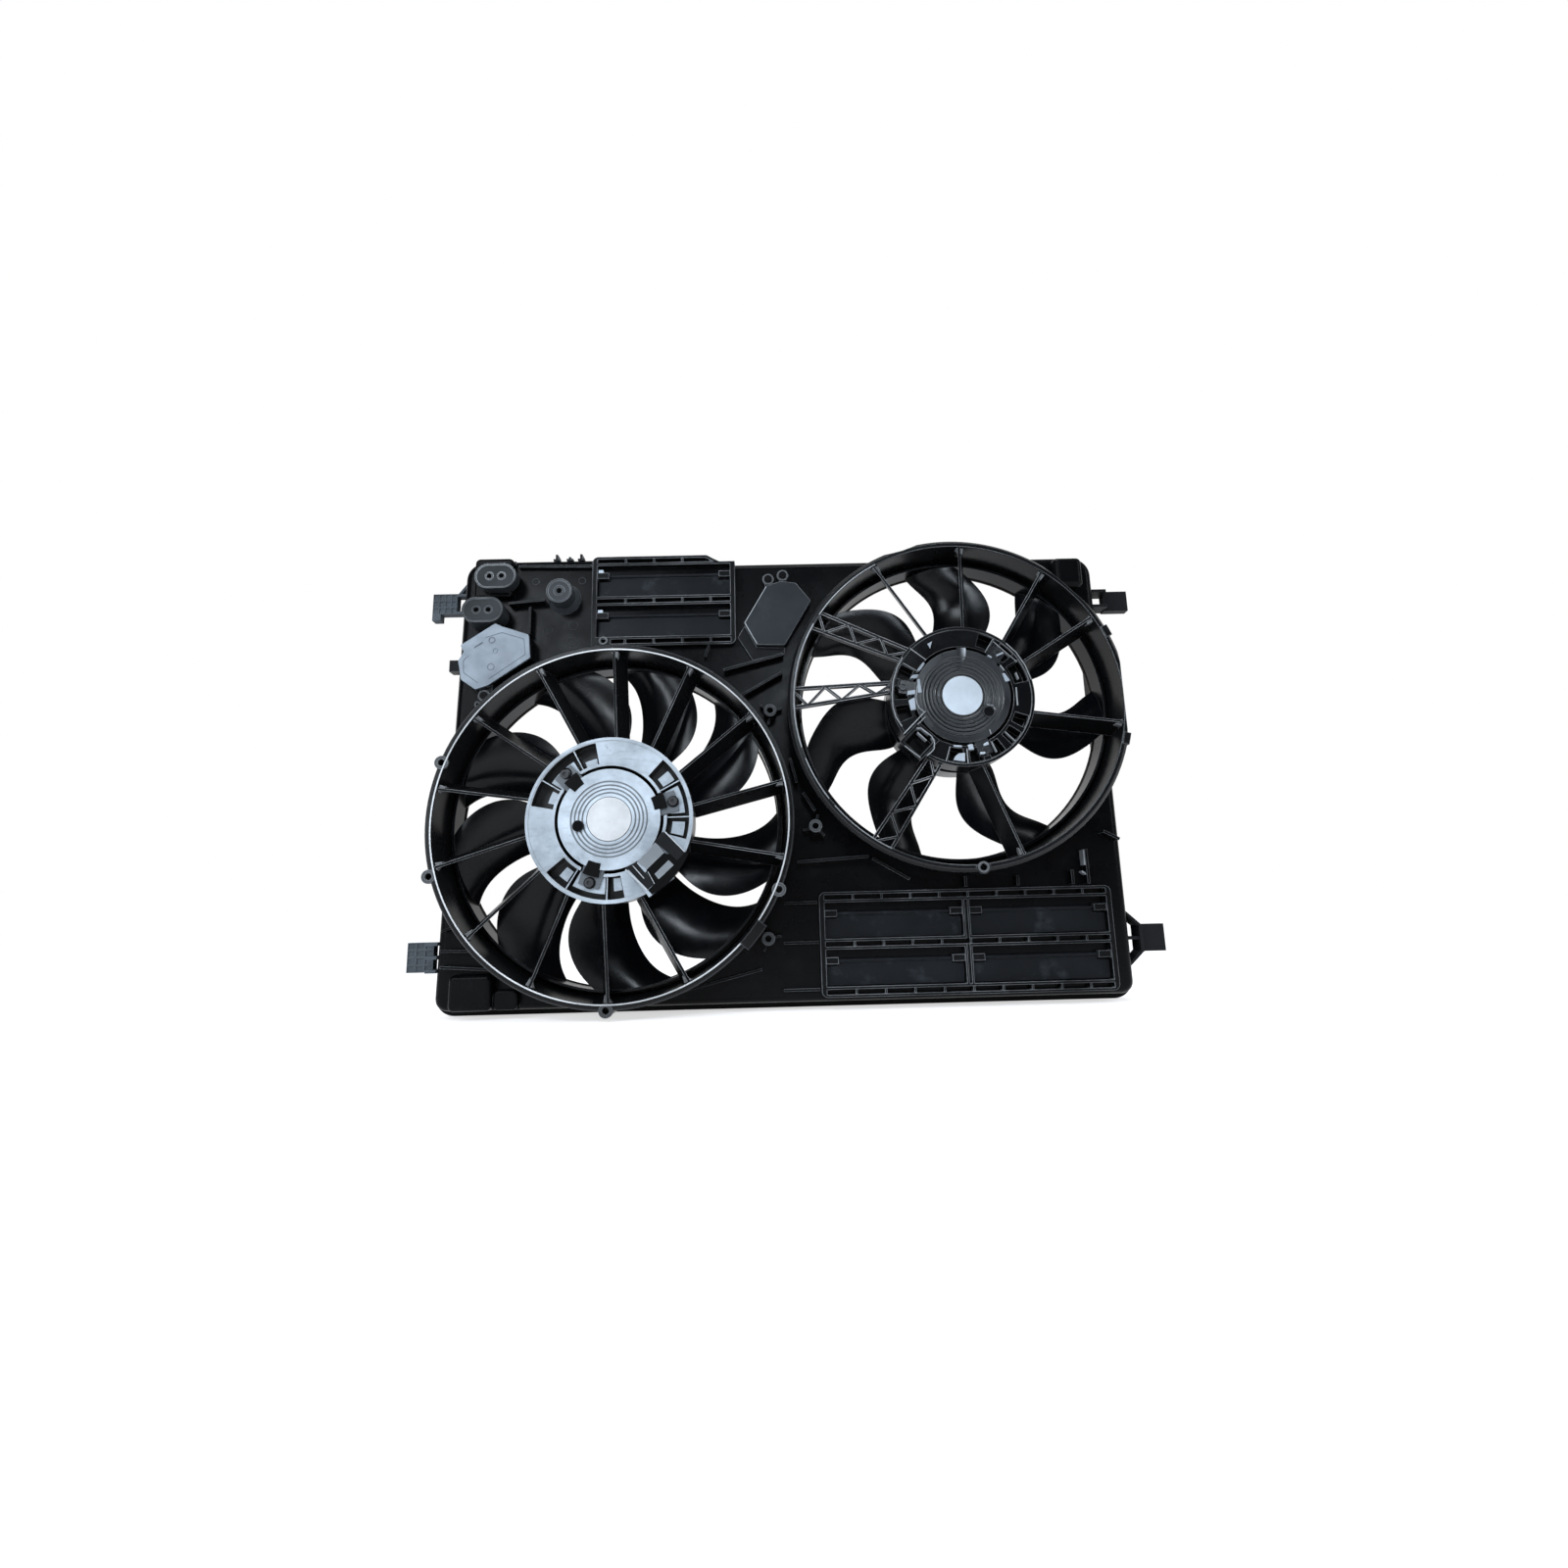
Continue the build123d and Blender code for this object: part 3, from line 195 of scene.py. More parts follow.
def duct(name, axis, rim, line):
    """Glossy duct wall with a painted highlight along its inner edge, whose radius is given in mm, and a
    dimmer painted highlight on its other edges.
    """
    s = Shader(name)
    normal, mask = s.edges(0.0019, 0.93)
    tone = s.mottle(s.noise(7.0, 4.0), (0.0030, 0.0032, 0.0036), (0.0085, 0.0088, 0.0095))
    scuffs = s.spread(s.noise(30.0, 5.0, 0.65, (1.0, 3.0, 1.0)), 0.56, 0.8, 0.0, 0.35)
    tone = s.blend(scuffs, tone, (0.024, 0.026, 0.029))
    # Painted highlight on the inner edge where it faces the engine
    inner = s.spread(s.radius_about(axis), (rim + 3.0) * MM, (rim + 1.8) * MM)
    front = s.spread(s.coordinate("Normal", "Y"), -0.15, -0.45)
    lit = s.times(mask, s.times(inner, front))
    tone = s.blend(s.times(lit, s.broken(11.0, (0.32, 0.62))), tone, line)
    # Dimmer painted highlight on the other edges
    outer = s.times(mask, s.math("SUBTRACT", 1.0, inner))
    tone = s.blend(s.times(outer, 0.6), tone, (0.075, 0.08, 0.085))
    wavy = s.bump(s.noise(22.0, 2.0), 0.12, 0.002, normal)
    return s.finish(tone, s.shine(s.noise(24.0, 4.0, 0.6), 0.20, 0.34), wavy, Specular_IOR_Level=0.15)


def sheen_patch(name, dark, pale):
    """Patch of the right end plate with a painted highlight that brightens towards its top right corner."""
    s = Shader(name)
    across = s.spread(s.coordinate("Object", "X"), 0.1735, 0.1793)
    up = s.spread(s.coordinate("Object", "Z"), 0.3150, 0.3330)
    glow = s.times(s.math("POWER", across, 1.6), up)
    streak = s.times(glow, s.spread(s.noise(300.0), *BROAD, 0.7, 1.0))
    normal = s.bump(s.noise(700.0, 2.0), 0.08, 0.0002, s.node("NewGeometry").outputs["Normal"])
    return s.finish(s.blend(streak, dark, pale), s.spread(glow, 0.0, 1.0, 0.3, 0.4), normal,
                    Specular_IOR_Level=0.3)


def ribbed_steel(name, axis, dark, pale):
    """Pressed end plate with fine rings about its middle, painted highlights on the ring crests and along its
    edges.
    """
    s = Shader(name)
    normal, mask = s.edges(0.0006)
    radius = s.radius_about(axis)
    rings, fine = (s.math("SINE", s.times(radius, 2 * pi / pitch)) for pitch in (0.0036, 0.0011))
    inside = s.spread(radius, 0.0405, 0.0385)
    height = s.times(s.math("ADD", rings, s.times(fine, 0.2)), inside)
    cloud = s.noise(30.0, 4.0, 0.6)
    tone = s.mottle(cloud, dark, pale)
    # Painted highlight on the ring crests
    tone = s.blend(s.times(s.spread(rings, 0.55, 0.95), s.times(inside, 0.5)), tone, scaled(pale, 2.6))
    # Painted highlight along the edges
    tone = s.blend(s.times(mask, 0.6), tone, (0.2, 0.21, 0.22))
    grooves = s.bump(height, 0.55, 0.0009, normal)
    return s.finish(tone, s.shine(cloud, 0.24, 0.36), grooves, Specular_IOR_Level=0.5)


def metal(name, color, roughness, metallic=1.0, scale=160.0):
    """Bare metal with a cast grain, cloudy stains and a painted highlight along its edges."""
    s = Shader(name)
    normal, mask = s.edges(0.0005)
    grain = s.noise(scale, 4.0, 0.6)
    tone = s.mottle(s.noise(22.0, 4.0, 0.6), scaled(color, 0.78), scaled(color, 1.15))
    tone = s.blend(s.spread(grain, 0.45, 0.75, 0.0, 0.35), tone, scaled(color, 0.6))
    # Painted highlight along the edges
    tone = s.blend(s.times(mask, 0.5), tone, scaled(color, 1.5))
    bumped = s.bump(grain, 0.08, 0.0002, normal)
    return s.finish(tone, s.shine(grain, roughness - 0.08, roughness + 0.12), bumped, Metallic=metallic)


def front_lit(name, front, side, floor, roughness=0.38):
    """Silvery moulding, painted lit and stained where it faces the engine, with painted shade on its sides
    and below its floor and a painted highlight on its raised edges.

    The floor's height towards the engine is in metres.
    """
    s = Shader(name)
    normal, mask = s.edges(0.0006)
    # Painted light: faces towards the engine take the pale colour and the others the dark one, and everything
    # below the floor is painted shade
    painted_light_facing = s.spread(s.coordinate("Normal", "Y"), -0.55, -0.85)
    raised = s.spread(s.coordinate("Object", "Y"), -(floor - 0.0004), -(floor + 0.0004))
    cloud = s.noise(26.0, 5.0, 0.62)
    streak = s.noise(60.0, 3.0, 0.6, (1.0, 1.0, 4.0))
    pale = s.mottle(cloud, scaled(front, 0.60), scaled(front, 1.25), (0.3, 0.72))
    pale = s.blend(s.spread(streak, 0.55, 0.75, 0.0, 0.45), pale, scaled(front, 0.45))
    pale = s.blend(s.spread(s.noise(130.0, 4.0, 0.7), 0.62, 0.74, 0.0, 0.6), pale, scaled(front, 0.4))
    tone = s.blend(s.times(painted_light_facing, raised), side, pale)
    # Painted highlight along the raised edges
    tone = s.blend(s.times(mask, s.times(raised, 0.6)), tone, (0.66, 0.70, 0.74))
    bumped = s.bump(s.noise(700.0, 2.0), 0.08, 0.0002, normal)
    return s.finish(tone, s.shine(cloud, roughness - 0.08, roughness + 0.1), bumped, Specular_IOR_Level=0.5)


# Looks of the shroud, its ducts, vanes, fans and flaps
# The edge colours of these plastics are painted highlights, and their sheen colours are painted sheen mixed
# with dust
shroud_black = plastic("shroud_black", (0.0022, 0.0024, 0.0029), 0.28, edge=(0.16, 0.17, 0.18),
                       edge_radius=0.0012, sheen=(0.014, 0.016, 0.019))
frame_black = plastic("frame_black", (0.0040, 0.0043, 0.0048), 0.32, edge=(0.27, 0.285, 0.30),
                      edge_radius=0.0014)
left_duct = duct("left_duct", LEFT_AXIS, 167.3, (0.10, 0.105, 0.11))
right_duct = duct("right_duct", RIGHT_AXIS, 160.0, (0.16, 0.17, 0.18))
vane_black = plastic("vane_black", (0.0038, 0.0040, 0.0044), 0.28, edge=(0.42, 0.44, 0.46),
                     edge_radius=0.0010, dust_and_sheen=0.1)
strut_black = plastic("strut_black", (0.0045, 0.0048, 0.0052), 0.28, edge=(0.60, 0.62, 0.65),
                      edge_radius=0.0013, dust_and_sheen=0.1)
fan_black = plastic("fan_black", (0.0018, 0.0021, 0.0028), 0.21, edge=(0.03, 0.032, 0.036), dust_and_sheen=0.1,
                    gloss=0.14)
flap_grey = plastic("flap_grey", (0.0085, 0.0098, 0.0118), 0.38, edge=(0.08, 0.09, 0.1), dust_and_sheen=0.8,
                    sheen=(0.040, 0.047, 0.055))
wedge_grey = plastic("wedge_grey", (0.12, 0.125, 0.13), 0.4, edge=(0.45, 0.47, 0.49))
# Pale colour of the left duct's rolled edge, a painted highlight
rim_highlight = plastic("rim_highlight", (0.62, 0.64, 0.66), 0.32, edge=(0.62, 0.64, 0.66), dust_and_sheen=0.7,
                      sheen=(0.2, 0.21, 0.22))
lip_brown = plastic("lip_brown", (0.020, 0.016, 0.012), 0.45, edge=(0.10, 0.09, 0.08), gloss=0.2,
                    sheen=(0.05, 0.042, 0.035))

# Looks of the tabs, bosses and posts
tab_grey = plastic("tab_grey", (0.075, 0.087, 0.100), 0.5, edge=(0.16, 0.18, 0.20), sheen=(0.12, 0.14, 0.16))
tab_black = plastic("tab_black", (0.009, 0.0095, 0.0105), 0.42, edge=(0.03, 0.032, 0.035))
boss_grey = plastic("boss_grey", (0.030, 0.034, 0.038), 0.36, edge=(0.45, 0.48, 0.50), edge_radius=0.0012,
                    sheen=(0.11, 0.12, 0.13))
post_grey = plastic("post_grey", (0.075, 0.08, 0.085), 0.36, edge=(0.50, 0.52, 0.54), edge_radius=0.0011,
                    sheen=(0.13, 0.14, 0.15))

# Looks of the motor mounts and end plates
# The silvery mount and plate are painted pale where they face the engine, with painted shade on their sides
# and floors
mount_silver = front_lit("mount_silver", (0.38, 0.44, 0.50), (0.007, 0.0075, 0.0085), 0.0825)
plate_silver = front_lit("plate_silver", (0.46, 0.53, 0.60), (0.10, 0.115, 0.13), 0.0874, 0.32)
plate_dark = ribbed_steel("plate_dark", RIGHT_AXIS, (0.010, 0.0115, 0.0135), (0.020, 0.023, 0.027))
disc_left = metal("disc_left", (0.60, 0.62, 0.64), 0.34, metallic=0.1, scale=40.0)
disc_right = metal("disc_right", (0.50, 0.57, 0.64), 0.36, metallic=0.1, scale=60.0)
motor_black = plastic("motor_black", (0.0040, 0.0044, 0.0052), 0.28, edge=(0.26, 0.27, 0.28),
                      edge_radius=0.0010)
# Near-black without highlights, painted shade for notches, gaps, openings, collars and screw wells
painted_shade_black = plastic("painted_shade_black", (0.0015, 0.0015, 0.0018), 0.5, edge=(0.004, 0.004, 0.0044),
                      gloss=0.08, dust_and_sheen=0.0)
channel_dark = plastic("channel_dark", (0.016, 0.017, 0.019), 0.4, edge=(0.06, 0.065, 0.07))
ramp_dark = plastic("ramp_dark", (0.02, 0.021, 0.023), 0.4)
ramp_grey = plastic("ramp_grey", (0.27, 0.30, 0.33), 0.4, edge=(0.75, 0.78, 0.82), edge_radius=0.0010,
                    sheen=(0.4, 0.44, 0.48))
pale_edge = plastic("pale_edge", (0.55, 0.58, 0.62), 0.4, edge=(0.75, 0.78, 0.82), sheen=(0.3, 0.32, 0.34))
pad_pale = plastic("pad_pale", (0.36, 0.41, 0.47), 0.36, edge=(0.75, 0.8, 0.84), sheen=(0.16, 0.18, 0.2))
# Pale grey for painted highlights on beads and edges
highlight_grey = plastic("highlight_grey", (0.30, 0.32, 0.34), 0.36, edge=(0.38, 0.40, 0.42), dust_and_sheen=0.8,
                    sheen=(0.07, 0.075, 0.08))
ridge_dark = plastic("ridge_dark", (0.012, 0.014, 0.016), 0.22, edge=(0.09, 0.10, 0.11), dust_and_sheen=0.3, gloss=0.5)
step_sheen = sheen_patch("step_sheen", (0.012, 0.013, 0.015), (0.46, 0.50, 0.54))

# Looks of the control modules
module_black = plastic("module_black", (0.0070, 0.0075, 0.0088), 0.36, edge=(0.30, 0.32, 0.34),
                       edge_radius=0.0011, dust_and_sheen=0.3)
lid_black = plastic("lid_black", (0.020, 0.0235, 0.027), 0.4, edge=(0.30, 0.32, 0.34), edge_radius=0.0011,
                    dust_and_sheen=0.3, sheen=(0.05, 0.056, 0.062))
lid_grey = metal("lid_grey", (0.20, 0.24, 0.285), 0.44, metallic=0.1, scale=60.0)
lid_shade = plastic("lid_shade", (0.10, 0.12, 0.142), 0.4, edge=(0.26, 0.30, 0.34),
                    sheen=(0.14, 0.165, 0.19))

# Looks of the motors' inner parts
steel = metal("steel", (0.52, 0.53, 0.55), 0.3)
dark_steel = metal("dark_steel", (0.05, 0.052, 0.056), 0.38, metallic=0.7)
copper = metal("copper", (0.62, 0.30, 0.16), 0.35)
ferrite = plastic("ferrite", (0.05, 0.05, 0.052), 0.6)
carbon = plastic("carbon", (0.03, 0.03, 0.03), 0.7)

# A node's own look comes first, then the first word in its name, and then the shroud's black
by_node = {
    "left_barrel": left_duct, "right_barrel": right_duct, "left_vanes": vane_black, "right_vanes": vane_black,
    "right_lattice_struts": strut_black, "left_motor_mount": mount_silver, "right_motor_mount": motor_black,
    "left_motor_end_plate": plate_silver, "right_motor_end_plate": plate_dark,
    "left_module_lid": lid_grey, "oval_bosses": boss_grey, "round_boss": boss_grey,
    "right_module_lid": lid_black, "right_module_case": module_black,
    "upper_left_tab": tab_grey, "lower_left_tab": tab_grey, "upper_right_tab": tab_black,
    "lower_right_tab": tab_black, "module_screws": dark_steel, "end_plate_plugs": motor_black,
}
by_word = (
    ("flap_frame", frame_black), ("_flap_", flap_grey), ("impeller", fan_black), ("motor_screws", dark_steel),
    ("magnets", ferrite), ("brushes", carbon), ("brush_card", motor_black), ("windings", copper),
    ("commutator", copper), ("bearings", steel), ("shaft", steel), ("armature_core", steel), ("nut", steel),
    ("motor_can", dark_steel),
)
for name, item in nodes.items():
    chosen = by_node.get(name)
    if chosen is None:
        chosen = next((look for word, look in by_word if word in name), shroud_black)
    if item.material_slots:
        for place in item.material_slots:
            place.material = chosen
    else:
        item.data.materials.append(chosen)


# Mesh helpers

def spot(x, y, z):
    """Point in metres from mm across, mm up the radiator and mm towards the engine."""
    return (x / 1000, -z / 1000, y / 1000)


def ring_point(axis, radius, angle):
    """Place in mm at a radius and an angle about a fan's axis."""
    return (axis[0] + radius * cos(radians(angle)), axis[1] + radius * sin(radians(angle)))


class Form:
    """Collects closed solids in one mesh and turns them into an object.

    All sizes are in mm. A span is the lowest and highest place of a solid towards the engine.
    """

    def __init__(self):
        self.points = []
        self.faces = []

    def prism(self, outline, span, shrink=0.0):
        """Upright solid over an outline, which can draw in towards its top."""
        low, high = span
        start = len(self.points)
        count = len(outline)
        cx = sum(p[0] for p in outline) / count
        cy = sum(p[1] for p in outline) / count
        self.points += [spot(x, y, low) for x, y in outline]
        self.points += [spot(x + (cx - x) * shrink, y + (cy - y) * shrink, high) for x, y in outline]
        self.faces.append([start + i for i in reversed(range(count))])
        self.faces.append([start + count + i for i in range(count)])
        for i in range(count):
            j = (i + 1) % count
            self.faces.append([start + i, start + j, start + count + j, start + count + i])

    def sector(self, axis, radii, angles, span, steps=8):
        """Piece of a ring about a fan's axis."""
        inner, outer = radii
        first, last = angles
        turns = [first + (last - first) * i / steps for i in range(steps + 1)]
        outline = [ring_point(axis, outer, a) for a in turns]
        outline += [ring_point(axis, inner, a) for a in reversed(turns)]
        self.prism(outline, span)

    def hoop(self, at, profile, steps=40):
        """Turned ring about a place, from a closed run of radii and heights."""
        start = len(self.points)
        count = len(profile)
        for i in range(steps):
            angle = 2 * pi * i / steps
            for radius, z in profile:
                self.points.append(spot(at[0] + radius * cos(angle), at[1] + radius * sin(angle), z))
        for i in range(steps):
            j = (i + 1) % steps
            for k in range(count):
                m = (k + 1) % count
                self.faces.append([start + i * count + k, start + j * count + k, start + j * count + m,
                                   start + i * count + m])

    def washer(self, at, outer, inner, span):
        """Flat ring about a place."""
        low, high = span
        self.hoop(at, [(inner, low), (outer, low), (outer, high), (inner, high)])

    def strip(self, points, width, span):
        """Narrow bars along a run of points."""
        for (ax, ay), (bx, by) in zip(points, points[1:]):
            length = hypot(bx - ax, by - ay)
            nx, ny = (ay - by) / length * width / 2, (bx - ax) / length * width / 2
            self.prism([(ax + nx, ay + ny), (bx + nx, by + ny), (bx - nx, by - ny), (ax - nx, ay - ny)], span)

    def lathe(self, axis, profile, steps=96):
        """Turned solid about a fan's axis, from radii and heights, closed on the axis."""
        start = len(self.points)
        for i in range(steps):
            for radius, z in profile:
                x, y = ring_point(axis, radius, 360 * i / steps)
                self.points.append(spot(x, y, z))
        count = len(profile)
        for i in range(steps):
            j = (i + 1) % steps
            for k in range(count - 1):
                self.faces.append([start + i * count + k, start + j * count + k,
                                   start + j * count + k + 1, start + i * count + k + 1])
        self.faces.append([start + i * count for i in reversed(range(steps))])
        self.faces.append([start + i * count + count - 1 for i in range(steps)])

    def make(self, name, look, body, bevel=0.25):
        """Object with rounded edges that rides on a body."""
        mesh = bpy.data.meshes.new(name)
        mesh.from_pydata(self.points, [], self.faces)
        work = bmesh.new()
        work.from_mesh(mesh)
        bmesh.ops.recalc_face_normals(work, faces=work.faces)
        work.to_mesh(mesh)
        work.free()
        mesh.materials.append(look)
        made = bpy.data.objects.new(name, mesh)
        bpy.context.scene.collection.objects.link(made)
        if bevel:
            rounding = made.modifiers.new("rounding", "BEVEL")
            rounding.width = bevel / 1000
            rounding.segments = 2
            rounding.limit_method = "ANGLE"
            rounding.harden_normals = True
        mesh.shade_smooth()
        mesh.set_sharp_from_angle(angle=radians(35))
        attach(made, body)


# Pads, ribs and dark gaps in the pockets of the left motor mount, by radii and angles; the gaps are painted
# shade
POCKET_PADS = (76, 83.6)
POCKET_RIBS = (74, 86.6)
PLATE_NOTCHES = (86, 88.7)
pads = Form()
for radii, angles in (((52.5, 66.5), (122, 147)), ((52, 60.5), (103, 114)), ((52, 61), (152.5, 164)),
                      ((57, 70.5), (4, 26)), ((58, 70.5), (31, 40)), ((58.5, 70.5), (-14, -3)),
                      ((54, 69.5), (-119, -93)), ((58, 69), (-132, -124)), ((55, 67), (-86, -79))):
    pads.sector(LEFT_AXIS, radii, angles, POCKET_PADS)
pads.make("left_mount_pads", mount_silver, "shroud")
ribs = Form()
for angle in (118, 149, 28.5, 0.5, -121.5, -91):
    ribs.sector(LEFT_AXIS, (50.5, 74.5), (angle - 0.5, angle + 0.5), POCKET_RIBS, 2)
ribs.make("left_mount_ribs", mount_silver, "shroud", 0.15)
notches = Form()
for angle, radius in ((133.0, 45.6), (18.0, 47.0), (-107.5, 45.8)):
    notches.sector(LEFT_AXIS, (radius - 4, 55), (angle - 8, angle + 8), PLATE_NOTCHES)
notches.make("left_plate_notches", painted_shade_black, "shroud")

# Discs in the middle of the motors' end plates, which start 0.8 mm inside the plate
for side, axis, radius, plate, look in (("left", LEFT_AXIS, 20.6, 88.0, disc_left),
                                        ("right", RIGHT_AXIS, 19.2, 96.0, disc_right)):
    disc = Form()
    disc.lathe(axis, [(0.01, plate - 0.8), (radius, plate - 0.8), (radius, plate + 0.25),
                      (radius - 0.3, plate + 0.5), (radius * 0.5, plate + 0.6), (0.01, plate + 0.65)])
    disc.make(side + "_centre_disc", look, "shroud", 0)

# Small wedges where the vanes meet the ducts, by the duct's radius and the vanes' angles
WEDGE_SIZE = 8.0
WEDGES = (76, 82.2)
DEGREES_IN_RADIAN = 57.3
LEFT_VANES = (88.6, 62.3, 35.8, 10.6, -14.2, -65.0, -91.0, -116.3, -141.8, -167.1, 167.3, 141.3, 114.9)
RIGHT_VANES = (117.3, 84.9, 53.7, 29.5, -10.5, -72.5)
wedges = Form()
for axis, radius, angles in ((LEFT_AXIS, 166.6, LEFT_VANES), (RIGHT_AXIS, 159.6, RIGHT_VANES)):
    for angle in angles:
        near = ring_point(axis, radius, angle - 0.4)
        along_rim = ring_point(axis, radius, angle - 0.4 + (WEDGE_SIZE / radius) * DEGREES_IN_RADIAN)
        inward = ring_point(axis, radius - WEDGE_SIZE, angle - 0.1)
        wedges.prism([near, along_rim, inward], WEDGES, 0.12)
wedges.make("vane_wedges", wedge_grey, "shroud", 0.3)

# Cable channel of the left mount, in thin layers over the mount's face
CHANNEL_BASE = 87.5
channel = Form()
for outline in (((-114.1, 165.0), (-110.5, 165.2), (-92.2, 146.2), (-98.2, 137.2), (-119.3, 156.2)),
                ((-146.1, 133.5), (-136.8, 137.9), (-119.8, 117.9), (-126.0, 112.5))):
    channel.prism(outline, (CHANNEL_BASE, 90.6))
channel.make("left_channel_panels", channel_dark, "shroud")
# Dark opening of the channel, painted shade
opening = Form()
opening.prism([(-127.2, 130.6), (-111.4, 145.6), (-105.2, 144.4), (-98.2, 137.2), (-119.8, 117.2),
               (-125.3, 124.2)], (CHANNEL_BASE, 90.9))
mount_edge = [ring_point(LEFT_AXIS, 81.9, angle) for angle in range(-25, -61, -5)]
opening.prism([(-91.8, 146.0)] + mount_edge + [(-125.6, 112.2)], (CHANNEL_BASE - 0.5, 90.95))
opening.make("left_channel_opening", painted_shade_black, "shroud", 0)
ramp = Form()
for outline in (((-119.3, 155.7), (-110.9, 146.1), (-126.9, 131.2), (-136.3, 138.2)),
                ((-119.9, 126.7), (-107.0, 139.2), (-102.1, 134.5), (-116.0, 121.7))):
    ramp.prism(outline, (CHANNEL_BASE, 91.1))
ramp.make("left_channel_ramp", ramp_grey, "shroud", 0.4)
# Pale strips along the channel's edges, painted highlights
lines = Form()
for run, width, top in ((((-110.5, 165.4), (-92.2, 146.4)), 1.0, 91.0),
                        (((-146.5, 131.4), (-126.5, 112.2)), 1.2, 90.9),
                        (((-139.9, 134.9), (-129.4, 122.8)), 0.7, 90.9),
                        (((-125.9, 128.9), (-119.8, 117.7)), 0.5, 91.0)):
    lines.strip(run, width, (CHANNEL_BASE, top))
lines.make("left_channel_edges", pale_edge, "shroud", 0)

# Pockets of the right mount, with pale pads that are painted highlights
MOUNT_BASE = 92.0
MOUNT_PADS = (MOUNT_BASE, 96.35)
MOUNT_BEADS = (MOUNT_BASE, 96.3)
CONNECTOR_BEADS = (MOUNT_BASE, 99.2)
glow_pads = Form()
for outline in (((131.5, 315.0), (137.7, 322.4), (139.5, 321.4), (133.8, 314.0)),
                ((124.3, 306.7), (127.3, 310.1), (132.6, 310.5), (131.0, 307.0)),
                ((120.5, 290.3), (121.8, 294.3), (128.6, 295.1), (128.2, 291.1)),
                ((121.6, 284.8), (127.5, 287.7), (128.2, 275.8), (123.4, 274.9)),
                ((131.4, 305.5), (133.3, 306.0), (134.9, 292.5), (131.1, 292.1)),
                ((161.6, 240.4), (169.6, 239.7), (169.5, 238.0), (162.0, 238.4)),
                ((175.3, 240.1), (179.6, 240.9), (180.7, 235.6), (175.9, 235.2)),
                ((190.0, 240.7), (194.5, 243.0), (195.2, 240.1), (190.8, 238.7)),
                ((162.8, 229.7), (166.3, 232.1), (172.0, 232.4), (171.4, 224.2), (161.1, 225.9)),
                ((213.0, 309.6), (215.4, 310.1), (220.1, 302.5), (215.7, 301.1)),
                ((186.6, 233.0), (191.3, 232.9), (190.7, 231.0), (186.5, 230.8)),
                ((200.9, 328.6), (204.6, 326.5), (204.0, 325.2), (200.3, 327.6)),
                ((208.6, 328.4), (215.6, 331.3), (216.0, 329.9), (209.5, 326.9)),
                ((143.1, 341.0), (147.7, 343.5), (145.3, 336.4))):
    glow_pads.prism(outline, MOUNT_PADS)
glow_pads.make("right_mount_pads", pad_pale, "shroud", 0.3)

# Beads of the right mount, painted pale as highlights: the edge of its connector first, then its ribs and
# rims
beads = Form()
for run, width in ((((127.1, 256.7), (131.4, 256.6), (140.9, 248.6), (143.2, 243.2), (142.5, 236.5),
                     (140.0, 233.6), (135.5, 230.1)), 1.0),
                   (((127.9, 252.8), (135.9, 244.4)), 0.9),
                   (((115.0, 240.0), (129.3, 227.9)), 0.8),
                   (((136.7, 273.2), (115.0, 251.7)), 1.0),
                   (((136.3, 267.8), (128.3, 260.1)), 0.8)):
    beads.strip(run, width, CONNECTOR_BEADS)
for run, width in ((((133.3, 305.5), (130.5, 297.5), (128.9, 287.6), (129.5, 281.7), (131.6, 276.7),
                     (136.2, 273.2)), 0.9),
                   (((118.2, 327.9), (112.4, 318.0), (107.8, 304.0), (106.1, 290.2), (106.5, 278.3),
                     (108.8, 268.4), (114.0, 259.5)), 0.8),
                   (((219.2, 339.8), (228.2, 330.5), (235.8, 317.2), (240.4, 303.0)), 0.8),
                   (((207.0, 344.7), (198.2, 331.2)), 0.6),
                   (((206.8, 342.2), (228.4, 320.9)), 0.5),
                   (((118.4, 322.4), (132.8, 313.0)), 0.5),
                   (((126.0, 336.9), (140.7, 324.9)), 0.8),
                   (((174.1, 236.7), (174.3, 222.3)), 0.8),
                   (((197.8, 242.9), (202.2, 232.7)), 0.6),
                   (((211.3, 252.3), (220.9, 242.4)), 0.5),
                   (((153.5, 224.7), (158.2, 239.0)), 0.6),
                   (((196.8, 254.6), (197.9, 250.2)), 0.9),
                   (((196.2, 279.2), (201.9, 278.0), (203.9, 273.6)), 0.8),
                   (((211.9, 317.9), (215.3, 312.4)), 1.0),
                   (((225.4, 295.4), (225.4, 277.7)), 1.1),
                   (((226.4, 310.3), (228.5, 303.9)), 0.9)):
    beads.strip(run, width, MOUNT_BEADS)
beads.make("right_mount_edges", highlight_grey, "shroud", 0)

# Pressed rings, and a painted highlight on a corner of the right end plate
RIDGE_LOW, RIDGE_HIGH = 95.6, 96.3
ridges = Form()
for radius in (23.4, 27.4, 31.0, 34.6, 38.6):
    ridges.hoop(RIGHT_AXIS, [(radius - 0.7, RIDGE_LOW), (radius + 0.7, RIDGE_LOW),
                             (radius + 0.35, RIDGE_HIGH), (radius - 0.35, RIDGE_HIGH)], 96)
ridges.make("right_plate_ridges", ridge_dark, "shroud", 0)
corner = Form()
corner.prism([(171.0, 337.2), (179.7, 336.0), (179.1, 328.1), (175.1, 319.6), (171.9, 314.6), (169.3, 312.1)],
             (95.0, 96.12))
corner.make("right_plate_step", step_sheen, "shroud", 0)

# Rolled line along the inner edge of the left duct, painted pale as a highlight
rolled = Form()
rolled.hoop(LEFT_AXIS, [(167.35, 83.6), (168.75, 83.6), (168.75, 84.2), (168.2, 84.55), (167.35, 84.3)], 180)
rolled.make("left_duct_edge", rim_highlight, "shroud", 0)

